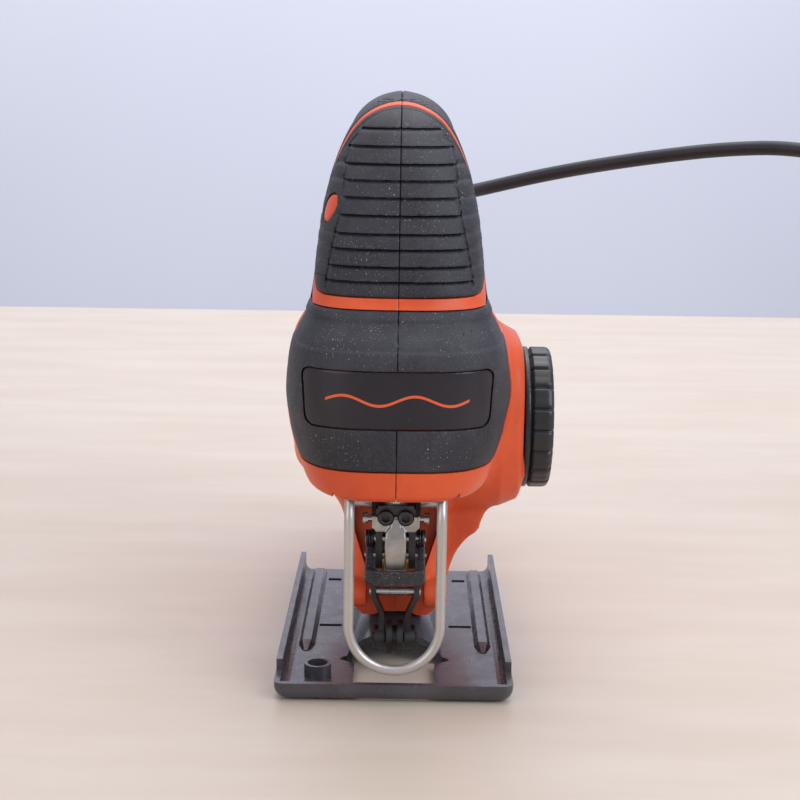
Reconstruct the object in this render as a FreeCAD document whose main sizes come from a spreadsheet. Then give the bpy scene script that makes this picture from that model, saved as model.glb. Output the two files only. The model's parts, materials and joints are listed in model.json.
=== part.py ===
import FreeCAD, Part
import math
import os
from FreeCAD import Vector as V, Placement, Rotation

# Jigsaw, corded, with a D handle, a bevelling shoe, a tool-less blade clamp and
# a side dial.  Millimetres.  Origin: centre of the sole of the shoe.
# +Z up, -Y the cutting direction (front), +X the side with the dial, which is
# the left side for the person holding the tool.

doc = FreeCAD.newDocument("jigsaw")
sheet = doc.addObject("Spreadsheet::Sheet", "Dims")

DIMS = [
    # shoe
    ("shoewidth", 76.0), ("shoelength", 130.0), ("shoeplate", 2.0), ("flangeheight", 9.0),
    ("flangethick", 2.0), ("liftheight", 5.8), ("mouthhalf", 13.3), ("archouter", 16.4),
    ("archthick", 2.0), ("archrear", 48.0), ("collarouter", 4.4), ("collarbore", 3.3),
    ("collarheight", 6.3), ("collarx", -24.9), ("collary", -47.5),
    # bevel lock
    ("boltradius", 2.5), ("bolty", 20.0), ("clampouter", 14.1),
    # wire guard
    ("wireradius", 1.6), ("guardhalf", 14.2), ("guardfront", -67.1), ("guardcentre", 25.8),
    # plunger
    ("plungerradius", 4.0), ("plungery", -48.0), ("plungerlow", 58.0), ("plungertop", 141.0),
    ("stroke", 16.0), ("bushouter", 6.5),
    # gears
    ("gearmodule", 0.8), ("pinionteeth", 12.0), ("gearteeth", 48.0), ("motorheight", 84.0),
    ("gearfront", -24.0), ("gearwidth", 8.0), ("crankthrow", 8.0), ("crankradius", 3.0),
    # motor
    ("shaftradius", 3.5), ("statorradius", 26.0), ("statorbore", 15.2), ("statorfront", 25.0),
    ("statorlength", 45.0), ("armatureradius", 14.6), ("commutatorradius", 10.0),
    ("fanradius", 23.0), ("runclear", 0.03),
    # clamp
    ("leverhalf", 9.4), ("springradius", 2.8),
    # roller
    ("rollerradius", 5.8), ("rollery", -38.0), ("rollerz", 12.0), ("bracketpivoty", -37.0),
    ("bracketpivotz", 58.0),
    # dial
    ("dialradius", 24.0), ("dialwidth", 12.0), ("dialface", 43.2), ("dialy", -6.0),
    ("dialz", 80.5), ("dialflutes", 20.0),
    # trigger and button
    ("triggertravel", 5.0), ("buttony", -45.0), ("buttonz", 153.5), ("buttonradius", 4.6),
    # shells
    ("wall", 2.8), ("skin", 2.0), ("seam", 0.15),
    # cord
    ("corddiameter", 6.5), ("cordexit", 178.5), ("cordz", 142.5), ("coilx", 240.0), ("coily", 60.0),
    ("coilmean", 36.0),
]
for i, (alias, value) in enumerate(DIMS):
    sheet.set("A%d" % (i + 1), alias)
    sheet.set("B%d" % (i + 1), repr(value))
    sheet.setAlias("B%d" % (i + 1), alias)
doc.recompute()
D = {a: float(sheet.get(a)) for a, _ in DIMS}


def ex(expr):
    """Turn sheet words in an expression into references to the sheet."""
    import re
    return re.sub(r"[A-Za-z]{3,}", lambda w: "Dims." + w.group(0) if w.group(0) in D else w.group(0), str(expr))


def bind(obj, prop, expr):
    if isinstance(expr, (int, float)):
        cur = obj
        parts = prop.split(".")
        if len(parts) == 1:
            setattr(obj, prop, expr)
        else:
            obj.setExpression(prop, repr(float(expr)))
    else:
        obj.setExpression(prop, ex(expr))


def at(obj, x, y, z):
    for k, v in (("x", x), ("y", y), ("z", z)):
        if isinstance(v, str):
            obj.setExpression("Placement.Base." + k, ex(v))
        else:
            b = obj.Placement.Base
            setattr(b, k, float(v))
            obj.Placement = Placement(b, obj.Placement.Rotation)
    return obj


def box(name, x0, x1, y0, y1, z0, z1):
    o = doc.addObject("Part::Box", name)
    for prop, a, b in (("Length", x0, x1), ("Width", y0, y1), ("Height", z0, z1)):
        if isinstance(a, str) or isinstance(b, str):
            o.setExpression(prop, ex("(%s)-(%s)" % (b, a)))
        else:
            setattr(o, prop, float(b - a))
    return at(o, x0, y0, z0)


TURN = {"z": Rotation(), "y": Rotation(V(1, 0, 0), -90), "x": Rotation(V(0, 1, 0), 90)}


def cyl(name, r, length, x, y, z, axis="z"):
    o = doc.addObject("Part::Cylinder", name)
    bind(o, "Radius", r)
    bind(o, "Height", length)
    o.Placement = Placement(V(0, 0, 0), TURN[axis])
    return at(o, x, y, z)


def cone(name, r1, r2, length, x, y, z, axis="z"):
    o = doc.addObject("Part::Cone", name)
    bind(o, "Radius1", r1)
    bind(o, "Radius2", r2)
    bind(o, "Height", length)
    o.Placement = Placement(V(0, 0, 0), TURN[axis])
    return at(o, x, y, z)


def fuse(name, *objs):
    o = doc.addObject("Part::MultiFuse", name)
    o.Shapes = list(objs)
    o.Refine = True
    return o


def cut(name, base, *tools):
    o = base
    t = tools[0] if len(tools) == 1 else fuse(name + "_tools", *tools)
    o = doc.addObject("Part::Cut", name)
    o.Base = base
    o.Tool = t
    return o


def common(name, *objs):
    o = doc.addObject("Part::MultiCommon", name)
    o.Shapes = list(objs)
    return o


def feature(name, shape):
    o = doc.addObject("Part::Feature", name)
    o.Shape = shape
    return o


def prism(name, pts, plane, a, b):
    """A straight prism: a closed outline in a plane, from offset a to offset b."""
    if plane == "xz":
        p3 = [V(u, a, v) for u, v in pts]
        d = V(0, b - a, 0)
    elif plane == "yz":
        p3 = [V(a, u, v) for u, v in pts]
        d = V(b - a, 0, 0)
    else:
        p3 = [V(u, v, a) for u, v in pts]
        d = V(0, 0, b - a)
    f = Part.Face(Part.makePolygon(p3 + [p3[0]]))
    s = f.extrude(d)
    if s.Volume < 0:
        s.reverse()
    return feature(name, s)


def body_pad(name, role, draw, length, offset=0, reverse=False):
    """A PartDesign body with one padded sketch on one of its own origin planes."""
    b = doc.addObject("PartDesign::Body", name + "_body")
    plane = [f for f in b.Origin.OriginFeatures if f.Role == role][0]
    sk = b.newObject("Sketcher::SketchObject", name + "_sketch")
    sk.AttachmentSupport = [(plane, "")]
    sk.MapMode = "FlatFace"
    if isinstance(offset, str):
        sk.setExpression("AttachmentOffset.Base.z", ex(offset))
    else:
        sk.AttachmentOffset = Placement(V(0, 0, offset), Rotation())
    draw(sk)
    p = b.newObject("PartDesign::Pad", name + "_pad")
    p.Profile = sk
    bind(p, "Length", length)
    p.Reversed = reverse
    b.Tip = p
    return b


def circle(sk, x, y, r_expr):
    import Sketcher
    r0 = 5.0
    i = sk.addGeometry(Part.Circle(V(x, y, 0), V(0, 0, 1), r0), False)
    c = sk.addConstraint(Sketcher.Constraint("Radius", i, r0))
    if isinstance(r_expr, str):
        sk.setExpression("Constraints[%d]" % c, ex(r_expr))
    else:
        sk.setDatum(c, FreeCAD.Units.Quantity(r_expr, FreeCAD.Units.Length))
    if x == 0 and y == 0:
        sk.addConstraint(Sketcher.Constraint("Coincident", i, 3, -1, 1))
    else:
        sk.addConstraint(Sketcher.Constraint("DistanceX", -1, 1, i, 3, x))
        sk.addConstraint(Sketcher.Constraint("DistanceY", -1, 1, i, 3, y))


PARTS = {}


def keep(label, obj):
    obj.Label = label
    PARTS[label] = obj
    return obj


# ------------------------------------------------------------------ outer forms
def ring_points(w, lo, hi, n, count=28):
    """A superellipse of half width w between lo and hi."""
    c, h = (lo + hi) / 2.0, (hi - lo) / 2.0
    out = []
    for k in range(count):
        t = 2 * math.pi * (k + 0.5) / count
        a, b = math.cos(t), math.sin(t)
        out.append((math.copysign(abs(a) ** (2.0 / n), a) * w, c + math.copysign(abs(b) ** (2.0 / n), b) * h))
    return out


def closed_spline(pts):
    s = Part.BSplineCurve()
    s.interpolate(Points=pts, PeriodicFlag=True)
    return Part.Wire([s.toShape()])


def loft(wires):
    s = Part.makeLoft(wires, True, False)
    if s.Volume < 0:
        s.reverse()
    return s


# height, half width, front, back, squareness
HEAD = [
    (64.5, 26.5, -69.5, 16, 3.2), (69, 29.4, -71.5, 20, 3.2), (76, 31.8, -72.7, 22, 3.2),
    (86, 34.6, -73.0, 22, 3.2), (96, 35.8, -73.0, 22, 3.2), (106, 35.2, -72.8, 20, 3.2),
    (113, 33.8, -71.6, 16, 3.1), (120, 30.4, -66.2, 6, 3.0), (127, 28.0, -61.4, 0, 2.9),
    (138, 27.0, -58.8, -2, 2.8), (150, 25.6, -56.0, -2, 2.7), (161, 23.6, -52.2, 0, 2.6),
    (171, 20.6, -47.4, 2, 2.5), (180, 15.8, -40.4, 2, 2.4), (186.5, 10.2, -31.4, 0, 2.3),
    (190, 4.5, -20.5, -7, 2.2),
]
# y, half width, low, high, squareness
BARREL = [
    (-34, 32.0, 62, 113, 3.2), (-12, 35.8, 56, 118, 3.4), (15, 37.0, 53.5, 119, 3.6),
    (55, 37.0, 52.5, 119, 3.6), (95, 36.0, 53, 118, 3.4), (125, 34.0, 54.5, 116, 3.2),
    (143, 31.0, 58, 112, 3.0), (150, 26.0, 63, 106, 2.8),
]
HANDLE = [
    (-24, 20.0, 146, 187.5, 2.6), (0, 20.8, 150, 189.4, 2.6), (28, 19.6, 152, 188.2, 2.6),
    (62, 18.8, 150.5, 184.4, 2.6), (95, 18.6, 145.5, 179, 2.6), (122, 19.0, 136, 171.5, 2.6),
    (140, 18.0, 128, 162, 2.6), (149, 14.0, 130, 155, 2.5),
]
# height, half width, front, back
POST = [(98, 25, 106, 147, 3.0), (112, 21.5, 110, 147.5, 2.8), (126, 19.4, 111.5, 147.8, 2.6),
        (140, 18.6, 110, 148, 2.6), (156, 17.6, 106, 146, 2.6)]
LEG = [
    (15.0, 11.0, -30, 44, 4.0), (18, 13.4, -32, 46, 4.2), (22, 15.1, -33.5, 47, 4.5), (30, 16.3, -35, 48, 4.5),
    (45, 17.4, -36, 48.5, 4.5), (55, 18.8, -37, 49, 4.2), (62, 21.5, -39, 50, 4.0),
    (72, 27.0, -41, 52, 3.8),
]


def across_z(rows, d, lo=0.0, hi=0.0):
    wires = []
    for k, (z, w, f, b, n) in enumerate(rows):
        if k == 0:
            z += lo
        if k == len(rows) - 1:
            z -= hi
        wires.append(closed_spline([V(x, y, z) for x, y in ring_points(w - d, f + d, b - d, n)]))
    return loft(wires)


def across_y(rows, d, lo=0.0, hi=0.0):
    wires = []
    for k, (y, w, a, b, n) in enumerate(rows):
        if k == 0:
            y += lo
        if k == len(rows) - 1:
            y -= hi
        wires.append(closed_spline([V(x, y, z) for x, z in ring_points(w - d, a + d, b - d, n)]))
    return loft(wires)


def head(d):
    rows = HEAD if d == 0 else HEAD[:-1]
    return across_z(rows, d, d, 0.3 * d)


def poly_xz(pts, y0, y1):
    p = [V(x, y0, z) for x, z in pts]
    return Part.Face(Part.makePolygon(p + [p[0]])).extrude(V(0, y1 - y0, 0))


def poly_yz(pts, x0, x1):
    p = [V(x0, y, z) for y, z in pts]
    return Part.Face(Part.makePolygon(p + [p[0]])).extrude(V(x1 - x0, 0, 0))


def cylinder(r, length, x, y, z, d):
    return Part.makeCylinder(r, length, V(x, y, z), V(*d))


def cuboid(x0, x1, y0, y1, z0, z1):
    return Part.makeBox(x1 - x0, y1 - y0, z1 - z0, V(x0, y0, z0))


# The boss that carries the dial, on the +X side, and the wing under it.
def boss(d):
    rows = []
    for x, y0, y1, z0, z1, n in ((20, -38, 30, 50, 113, 3.4), (34, -36.5, 27, 52, 112, 3.4),
                                 (40, -33.5, 23, 54, 109, 3.2), (42.6, -30.5, 19, 57, 105.5, 3.0)):
        c = (y0 + y1) / 2.0
        h = (y1 - y0) / 2.0
        pts = ring_points(h - d, z0 + d, z1 - d, n)
        rows.append(closed_spline([V(x - (d if x > 42 else 0), c + u, v) for u, v in pts]))
    return loft(rows)


WING = [(4, 70), (42.2, 70), (42.0, 57.5), (37, 52.5), (29, 46.5), (24.5, 41.5), (21.6, 37.2), (17.2, 30.0), (4, 30.0)]


def wing(d):
    pts = [(x - (d if x > 10 else 0), z) for x, z in WING]
    return poly_xz(pts, -27 + d, 16 - d)


def outer_form():
    s = head(0).fuse([across_y(BARREL, 0), across_y(HANDLE, 0), across_z(POST, 0),
                      across_z(LEG, 0), boss(0), wing(0)])
    return s


def inner_form(d):
    s = head(d).fuse([across_y(BARREL, d, d, d), across_y(HANDLE, d, 0, d), across_z(POST, d)])
    return s



def half(shape, side):
    g = D["seam"]
    return shape.common(cuboid(g, 80, -120, 200, -10, 220) if side > 0 else cuboid(-80, -g, -120, 200, -10, 220))


MAIN = {}


def shells():
    """The moulded shells and the rubber on them, cut from one outer form."""
    outer = outer_form()
    cavity = inner_form(D["wall"])
    skin_in = inner_form(D["skin"])
    print("forms", outer.isValid(), cavity.isValid(), skin_in.isValid())
    shell = outer.cut(cavity)
    # hollow of the leg, of the dial boss, and the bevel saddle under the foot
    leg_rows = [(z, w, f, b, n) for z, w, f, b, n in LEG if z >= 22]
    leg_hollow = across_z(leg_rows, 3.2, 3.0, -2.0).common(cuboid(-40, 40, -21, 60, 20, 80))
    shell = shell.cut(leg_hollow)
    shell = shell.cut(boss(3.0).common(cuboid(24, 60, -60, 60, 40, 120)))
    shell = shell.cut(cylinder(D["archouter"] + 0.25, 130, 0, -45, 0, (0, 1, 0)))
    # channel for the clamp and the roller arms, open to the front and below
    chan = poly_xz([(-9.6, 8), (9.6, 8), (9.6, 34), (13.4, 46), (15.0, 60), (15.0, 82), (-15.0, 82), (-15.0, 60),
                    (-13.4, 46), (-9.6, 34)], -58.5, -29.0)
    shell = shell.cut(chan)
    shell = shell.cut(cuboid(-17.4, 17.4, -69.3, -58, 58, 72))
    # ribs that hold the motor, and the saddles for its bearings
    ribs = []
    for y0, y1, r in ((29, 32.5, D["statorradius"]), (62, 65.5, D["statorradius"]), (116, 124, 11.0)):
        slab = across_y(BARREL, D["wall"] - 1.0).common(cuboid(-60, 60, y0, y1, 40, 117.5))
        ribs.append(slab.cut(cylinder(r, 20, 0, y0 - 5, D["motorheight"], (0, 1, 0))))
    # screw bosses, in line with the screws
    for y, z, x0, x1, r in SCREWS:
        ribs.append(cylinder(r + 2.6, 70, -35, y, z, (1, 0, 0)).common(outer))
    # lugs for the roller bracket's pin
    for x0 in (-17.5, 9.0):
        ribs.append(cuboid(x0, x0 + 8.5, D["bracketpivoty"] - 4, D["bracketpivoty"] + 8, 54, 70.9).common(outer))
    shell = shell.fuse(ribs)
    shell = shell.cut(cylinder(2.0, 60, -30, D["bracketpivoty"], D["bracketpivotz"], (1, 0, 0)).common(
        cuboid(-15.2, 15.2, -60, 0, 40, 80)))
    # openings: dial spindle, lock button, trigger, cord, bevel bolt, screws
    shell = shell.cut(cylinder(4.05, 40, 12, D["dialy"], D["dialz"], (1, 0, 0)))
    shell = shell.cut(cylinder(D["buttonradius"] + 0.3, 30, -40, D["buttony"], D["buttonz"], (1, 0, 0)))
    shell = shell.cut(cuboid(-8.4, 8.4, 5.6, 38.4, 145, 160))
    shell = shell.cut(cylinder(7.6, 12, 0, 142, D["cordz"], (0, 1, 0)))
    shell = shell.cut(cylinder(D["boltradius"], 20, 0, D["bolty"], 10, (0, 0, 1)))
    for y, z, x0, x1, r in SCREWS:
        shell = shell.cut(cylinder(r, x1 - x0, x0, y, z, (1, 0, 0)))
        shell = shell.cut(cylinder(3.7, 40, x0 - 40 + 0.001, y, z, (1, 0, 0)))
    # cooling slots in the rear of the barrel and over the fan
    for k in range(6):
        z = 70 + 5.6 * k
        for x0 in (-60, 26):
            shell = shell.cut(cuboid(x0, x0 + 34, 98 + 1.2 * k, 121, z, z + 2.4))
    # rubber
    skin = outer.cut(skin_in)
    slope = [(-27.5 + (187.2 - 120) * 0.5, 128.2)]
    thumb = skin.common(poly_yz([(-90, 128.2), (-4, 128.2), (-4, 140), (-27.2, 186.6), (-90, 186.6)], -45, 90 - 45))
    thumb = thumb.cut(cylinder(D["buttonradius"] + 0.3, 30, -40, D["buttony"], D["buttonz"], (1, 0, 0)))
    grip = skin.common(poly_yz([(-25.5, 187.0), (-12, 160), (20, 166), (70, 163), (110, 157), (132, 152),
                                (132, 200), (-25.5, 200)], -45, 45))
    nose = skin.common(poly_yz([(-90, 76.2), (-52, 76.2), (-38, 84), (-38, 116), (-42, 124.6), (-90, 124.6)], -45, 45))
    plate_zone = cuboid(-28.7, 28.7, -90, -60, 89.5, 107.5)
    plate = head(0.3).cut(skin_in).common(plate_zone)
    nose = nose.cut(plate_zone)
    for name, s in (("thumb_pad", thumb), ("handle_grip", grip), ("nose_grip", nose)):
        shell = shell.cut(s)
        for side, word in ((1, "left"), (-1, "right")):
            MAIN[name + "_" + word] = half(s, side)
    shell = shell.cut(head(0.0).common(plate_zone).cut(skin_in))
    MAIN["name_plate"] = plate
    for side, word in ((1, "left"), (-1, "right")):
        h = half(shell, side)
        solids = sorted(h.Solids, key=lambda q: -q.Volume)
        print("housing", word, h.isValid(), [round(q.Volume) for q in solids][:6])
        for q in solids[1:]:
            bb = q.BoundBox
            print("  loose", round(q.Volume), [round(t, 1) for t in (bb.XMin, bb.XMax, bb.YMin, bb.YMax, bb.ZMin, bb.ZMax)])
        MAIN["housing_" + word] = solids[0]


# y, z, start and end of the shank in x, shank radius
SCREWS = [
    (-64.0, 94.0, -16, 13, 1.7), (-34.0, 164.0, -13, 12, 1.7), (128.0, 156.0, -12, 12, 1.7),
    (104.0, 60.0, -18, 14, 1.7), (104.0, 111.0, -18, 14, 1.7), (22.0, 40.0, -12, 12, 1.7),
    (80.0, 167.0, -12, 12, 1.7),
]
shells()
for label in ("housing_left", "housing_right", "nose_grip_left", "nose_grip_right", "thumb_pad_left",
              "thumb_pad_right", "handle_grip_left", "handle_grip_right", "name_plate"):
    keep(label, feature(label + "_shape", MAIN[label]))

# ------------------------------------------------------------------ fasteners
items = []
for k, (y, z, x0, x1, r) in enumerate(SCREWS):
    shank = cyl("case_screw_shank%d" % k, r, x1 - x0, x0, y, z, "x")
    top = cyl("case_screw_head%d" % k, 3.4, 2.6, x0 - 2.6, y, z, "x")
    sock = cyl("case_screw_recess%d" % k, 1.5, 1.4, x0 - 2.7, y, z, "x")
    items.append(cut("case_screw%d" % k, fuse("case_screw_blank%d" % k, shank, top), sock))
comp = doc.addObject("Part::Compound", "case_screw_set")
comp.Links = items
keep("housing_screws", comp)


def wire_of(points, radii):
    """Straight runs joined by tangent arcs: one radius for each inner point."""
    pts = [V(*p) for p in points]
    edges = []
    prev = pts[0]
    for i in range(1, len(pts) - 1):
        a, b, c = pts[i - 1], pts[i], pts[i + 1]
        u, v = (a - b).normalize(), (c - b).normalize()
        ang = math.pi - u.getAngle(v)
        t = radii[i - 1] * math.tan(ang / 2)
        p, q = b + u * t, b + v * t
        centre = b + (u + v).normalize() * (radii[i - 1] / math.cos(ang / 2))
        mid = centre + (b - centre).normalize() * radii[i - 1]
        if (p - prev).Length > 1e-4:
            edges.append(Part.LineSegment(prev, p).toShape())
        edges.append(Part.Arc(p, mid, q).toShape())
        prev = q
    if (pts[-1] - prev).Length > 1e-4:
        edges.append(Part.LineSegment(prev, pts[-1]).toShape())
    return Part.Wire(edges)


def tube(points, radii, r):
    path = wire_of(points, radii)
    start = V(*points[0])
    d = (V(*points[1]) - start).normalize()
    ring = Part.Wire([Part.Circle(start, d, r).toShape()])
    s = path.makePipeShell([ring], True, False)
    if s.Volume < 0:
        s.reverse()
    want = math.pi * r * r * path.Length
    print("tube", s.isValid(), "volume", round(s.Volume), "section times length", round(want), "length", round(path.Length, 1))
    return s, path.Length


# ------------------------------------------------------------------------ shoe
def edges_where(obj, test):
    return [i + 1 for i, e in enumerate(obj.Shape.Edges) if test(e.BoundBox)]


def round_edges(name, base, picks):
    doc.recompute()
    f = doc.addObject("Part::Fillet", name)
    f.Base = base
    f.Edges = [(i, r, r) for test, r in picks for i in edges_where(base, test)]
    return f


def flat(a, b, tol=0.01):
    return abs(a - b) < tol


blank = box("shoe_blank", "-shoewidth/2", "shoewidth/2", "-shoelength/2", "shoelength/2", 0, "flangeheight")
blank_round = round_edges("shoe_blank_round", blank, [
    (lambda q: q.YLength > 100 and flat(q.ZMax, 0), 4.5),
    (lambda q: q.XLength > 50 and flat(q.ZMax, 0) and flat(q.YMax, -65), 3.5),
    (lambda q: q.ZLength > 8 and flat(q.YMax, -65) and q.XLength < 1, 3.0)])
inside = box("shoe_inside", "flangethick-shoewidth/2", "shoewidth/2-flangethick", "flangethick-shoelength/2", 80,
             "shoeplate", 15)
inside_round = round_edges("shoe_inside_round", inside, [
    (lambda q: q.YLength > 100 and flat(q.ZMax, 2), 2.5),
    (lambda q: q.XLength > 50 and flat(q.ZMax, 2) and q.YMax < 0, 1.5)])
step = box("shoe_step", -40, 40, -66, -52, "liftheight", 12)
mouth = prism("shoe_mouth", [(-13.3, -61), (-10.3, -63.0 + 1.0), (10.3, -62), (13.3, -61), (13.3, -37), (18.5, -33),
                             (17.5, -31.0), (14.4, -29), (14.4, 48), (-14.4, 48), (-14.4, -29), (-17.5, -31.0),
                             (-18.5, -33), (-13.3, -37)], "xy", -1, 4)
collar_hole = cyl("collar_hole", "collarbore", 20, "collarx", "collary", -5)
slit_l = box("slit_left", 19, 27, -1.2, 1.2, -1, 4)
slit_r = box("slit_right", -27, -19, -1.2, 1.2, -1, 4)
oval_l = box("oval_left", 21.5, 26.5, 50.6, 53.4, -1, 4)
oval_r = box("oval_right", -26.5, -21.5, 50.6, 53.4, -1, 4)
tray = cut("shoe_tray", blank_round, inside_round, step, mouth, slit_l, slit_r, oval_l, oval_r)
collar = cyl("collar_ring", "collarouter", "collarheight-1", "collarx", "collary", 1)
beads = []
for side in (1, -1):
    prof = [(27, 1.5), (28.7, 4), (31.7, 4), (33.3, 1.5)]
    pts = [(side * x, z) for x, z in prof]
    beads.append(prism("bead_run%+d" % side, pts, "xz", -20, 60))
    w0 = Part.makePolygon([V(side * x, -20, z) for x, z in prof + prof[:1]])
    w1 = Part.makePolygon([V(side * x, -26, z) for x, z in ((28.6, 1.5), (29.6, 2.2), (30.8, 2.2), (31.8, 1.5), (28.6, 1.5))])
    nose_bead = Part.makeLoft([w1, w0], True, True)
    if nose_bead.Volume < 0:
        nose_bead.reverse()
    beads.append(feature("bead_nose%+d" % side, nose_bead))


def half_oval(y, a, h):
    """Outline of half an oval, a wide and h high, standing on the sole plane."""
    pts = []
    for k in range(0, 25):
        t = math.pi * k / 24
        pts.append(V(a * math.cos(t), y, h * math.sin(t)))
    c = Part.BSplineCurve()
    c.interpolate(pts)
    return Part.Wire([c.toShape(), Part.LineSegment(pts[-1], pts[0]).toShape()])


ro, th = D["archouter"], D["archthick"]
run = D["archrear"] + 18
arch_out = Part.Face(half_oval(-18, ro, ro)).extrude(V(0, run, 0))
arch_in = Part.Face(half_oval(-18, ro - th, ro - th)).extrude(V(0, run, 0))
hood_out = loft([half_oval(-31, ro, 10.8), half_oval(-27, ro, 13.2), half_oval(-22.5, ro, 15.3), half_oval(-18, ro, ro)])
hood_in = loft([half_oval(-31, ro - th, 8.8), half_oval(-27, ro - th, 11.2), half_oval(-22.5, ro - th, 13.3), half_oval(-18, ro - th, ro - th)])
arch_shape = arch_out.cut(arch_in).fuse(hood_out.cut(hood_in))
slot_r = D["boltradius"] + 0.3
arc_slot = []
for k in range(-57, 58, 3):
    a = math.radians(k)
    arc_slot.append(cylinder(slot_r, 8, 12 * math.sin(a), D["bolty"], 12 * math.cos(a), (math.sin(a), 0, math.cos(a))))
band = cylinder(20, 2 * slot_r, 0, D["bolty"] - slot_r, 0, (0, 1, 0)).cut(cylinder(12, 2 * slot_r, 0, D["bolty"] - slot_r, 0, (0, 1, 0)))
a57 = math.radians(54)
wedge = poly_xz([(0, 0), (40 * math.sin(a57), 40 * math.cos(a57)), (0, 60), (-40 * math.sin(a57), 40 * math.cos(a57))],
                D["bolty"] - slot_r, D["bolty"] + slot_r)
ends = [cylinder(slot_r, 12, 10 * math.sin(s * a57), D["bolty"], 10 * math.cos(a57), (s * math.sin(a57), 0, math.cos(a57))) for s in (1, -1)]
arch_shape = arch_shape.cut(band.common(wedge)).cut(ends[0]).cut(ends[1])
arch = feature("arch_pressing", arch_shape)
shoe = fuse("shoe_whole", tray, collar, arch, *beads)
keep("shoe", cut("shoe_finished", shoe, collar_hole))

# bevel lock: bolt, curved plate
head_b = cyl("bevel_head", 4.4, 4.0, 0, "bolty", 6.4)
hexp = [(2.0 * math.cos(math.radians(60 * k)), D["bolty"] + 2.0 * math.sin(math.radians(60 * k))) for k in range(6)]
hex_b = prism("bevel_socket", hexp, "xy", 6.0, 8.9)
shank_b = cyl("bevel_shank", "boltradius", 18, 0, "bolty", 10.0)
keep("bevel_screw", cut("bevel_screw_cut", fuse("bevel_screw_blank", head_b, shank_b), hex_b))
sector_ring = cut("bevel_ring", cyl("bevel_ring_out", "clampouter", 18, 0, 11, 0, "y"),
                  cyl("bevel_ring_in", "clampouter-2.6", 24, 0, 8, 0, "y"))
sector = common("bevel_sector", sector_ring, box("bevel_window", -6.5, 6.5, 11, 29, 10.4, 16))
keep("bevel_clamp_plate", cut("bevel_plate_cut", sector, cyl("bevel_plate_hole", "boltradius", 20, 0, "bolty", 2)))

# ------------------------------------------------------------------ wire guard
gh, gf, gc = D["guardhalf"], D["guardfront"], D["guardcentre"]
low = gc - gh
guard_pts = [(-gh, -61.5, 82), (-gh, -61.5, 71.5), (-gh, gf, 61), (-gh, gf, low), (gh, gf, low), (gh, gf, 61),
             (gh, -61.5, 71.5), (gh, -61.5, 82)]
guard, _ = tube(guard_pts, [8, 8, gh, gh, 8, 8], D["wireradius"])
keep("wire_guard", feature("wire_guard_bent", guard))
holder = box("guard_holder_block", -18.5, 18.5, -64.6, -57.4, 74, 84)
holes = [cyl("guard_hole%d" % k, "wireradius", 30, x, -61.5, 60) for k, x in ((0, "guardhalf"), (1, "-guardhalf"))]
keep("guard_holder", cut("guard_holder_cut", holder, *holes))

# ----------------------------------------------------------------- gear frame
pa = box("frame_plate", -21, 21, -10, -4, 66, 116)
pb = box("frame_low", -11, 11, -55.5, -34, 71, 82)
pc = box("frame_high", -9, 9, -55.0, -10, 130, 137)
pd = box("frame_low_arm", -11, 11, -34, -10, 71, 76.5)
pe = box("frame_plate_high", -12, 12, -10, -6, 116, 137)
fh = [cyl("frame_bush_low", "bushouter", 20, 0, "plungery", 66), cyl("frame_bush_high", "bushouter", 20, 0, "plungery", 125),
      cyl("frame_bearing", 11.0, 20, 0, -20, "motorheight", "y"), cyl("frame_axle", "crankradius+1", 20, 0, -20, "motorheight+24", "y")]
keep("gear_frame", cut("gear_frame_cut", fuse("gear_frame_cast", pa, pb, pc, pd, pe), *fh))


def ring(label, ro_, ri, length, x, y, z, axis):
    return keep(label, cut(label + "_ring", cyl(label + "_out", ro_, length, x, y, z, axis),
                           cyl(label + "_bore", ri, length + 2 if not isinstance(length, str) else length + "+2",
                               x if axis != "x" else x - 1, y if axis != "y" else y - 1,
                               z if axis != "z" else z - 1, axis)))


ring("plunger_bush_lower", "bushouter", "plungerradius+runclear", 11, 0, "plungery", 71.0, "z")
ring("plunger_bush_upper", "bushouter", "plungerradius+runclear", 7, 0, "plungery", 130.0, "z")
ring("front_bearing", 11.0, "shaftradius+runclear", 6, 0, -10, "motorheight", "y")
ring("rear_bearing", 11.0, "shaftradius+runclear", 7, 0, 116.5, "motorheight", "y")
keep("gear_axle", cyl("gear_axle_pin", "crankradius+1", 17.5, 0, -23.5, "motorheight+24", "y"))

# ---------------------------------------------------------------- gears
def gear_outline(teeth, module, phase, backlash):
    """Involute teeth, one of them centred on the angle phase."""
    rp = teeth * module / 2
    rb = rp * math.cos(math.radians(20))
    ra = rp + 0.9 * module
    rf = rp - 1.15 * module
    inv = math.tan(math.radians(20)) - math.radians(20)
    halfp = math.pi / (2 * teeth) - backlash / (2 * rp)
    pts = []
    for k in range(teeth):
        c = phase + 2 * math.pi * k / teeth
        rs = [max(rb, rf), rp, ra]
        flank = []
        for r in rs:
            al = math.acos(min(1, rb / r))
            flank.append((r, halfp + inv - (math.tan(al) - al)))
        seq = [(rf, -flank[0][1])] if rf < rb else []
        seq += [(r, -a) for r, a in flank] + [(r, a) for r, a in reversed(flank)]
        seq += [(rf, flank[0][1])] if rf < rb else []
        pts += [(r * math.cos(c + a), r * math.sin(c + a)) for r, a in seq]
    return pts


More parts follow.
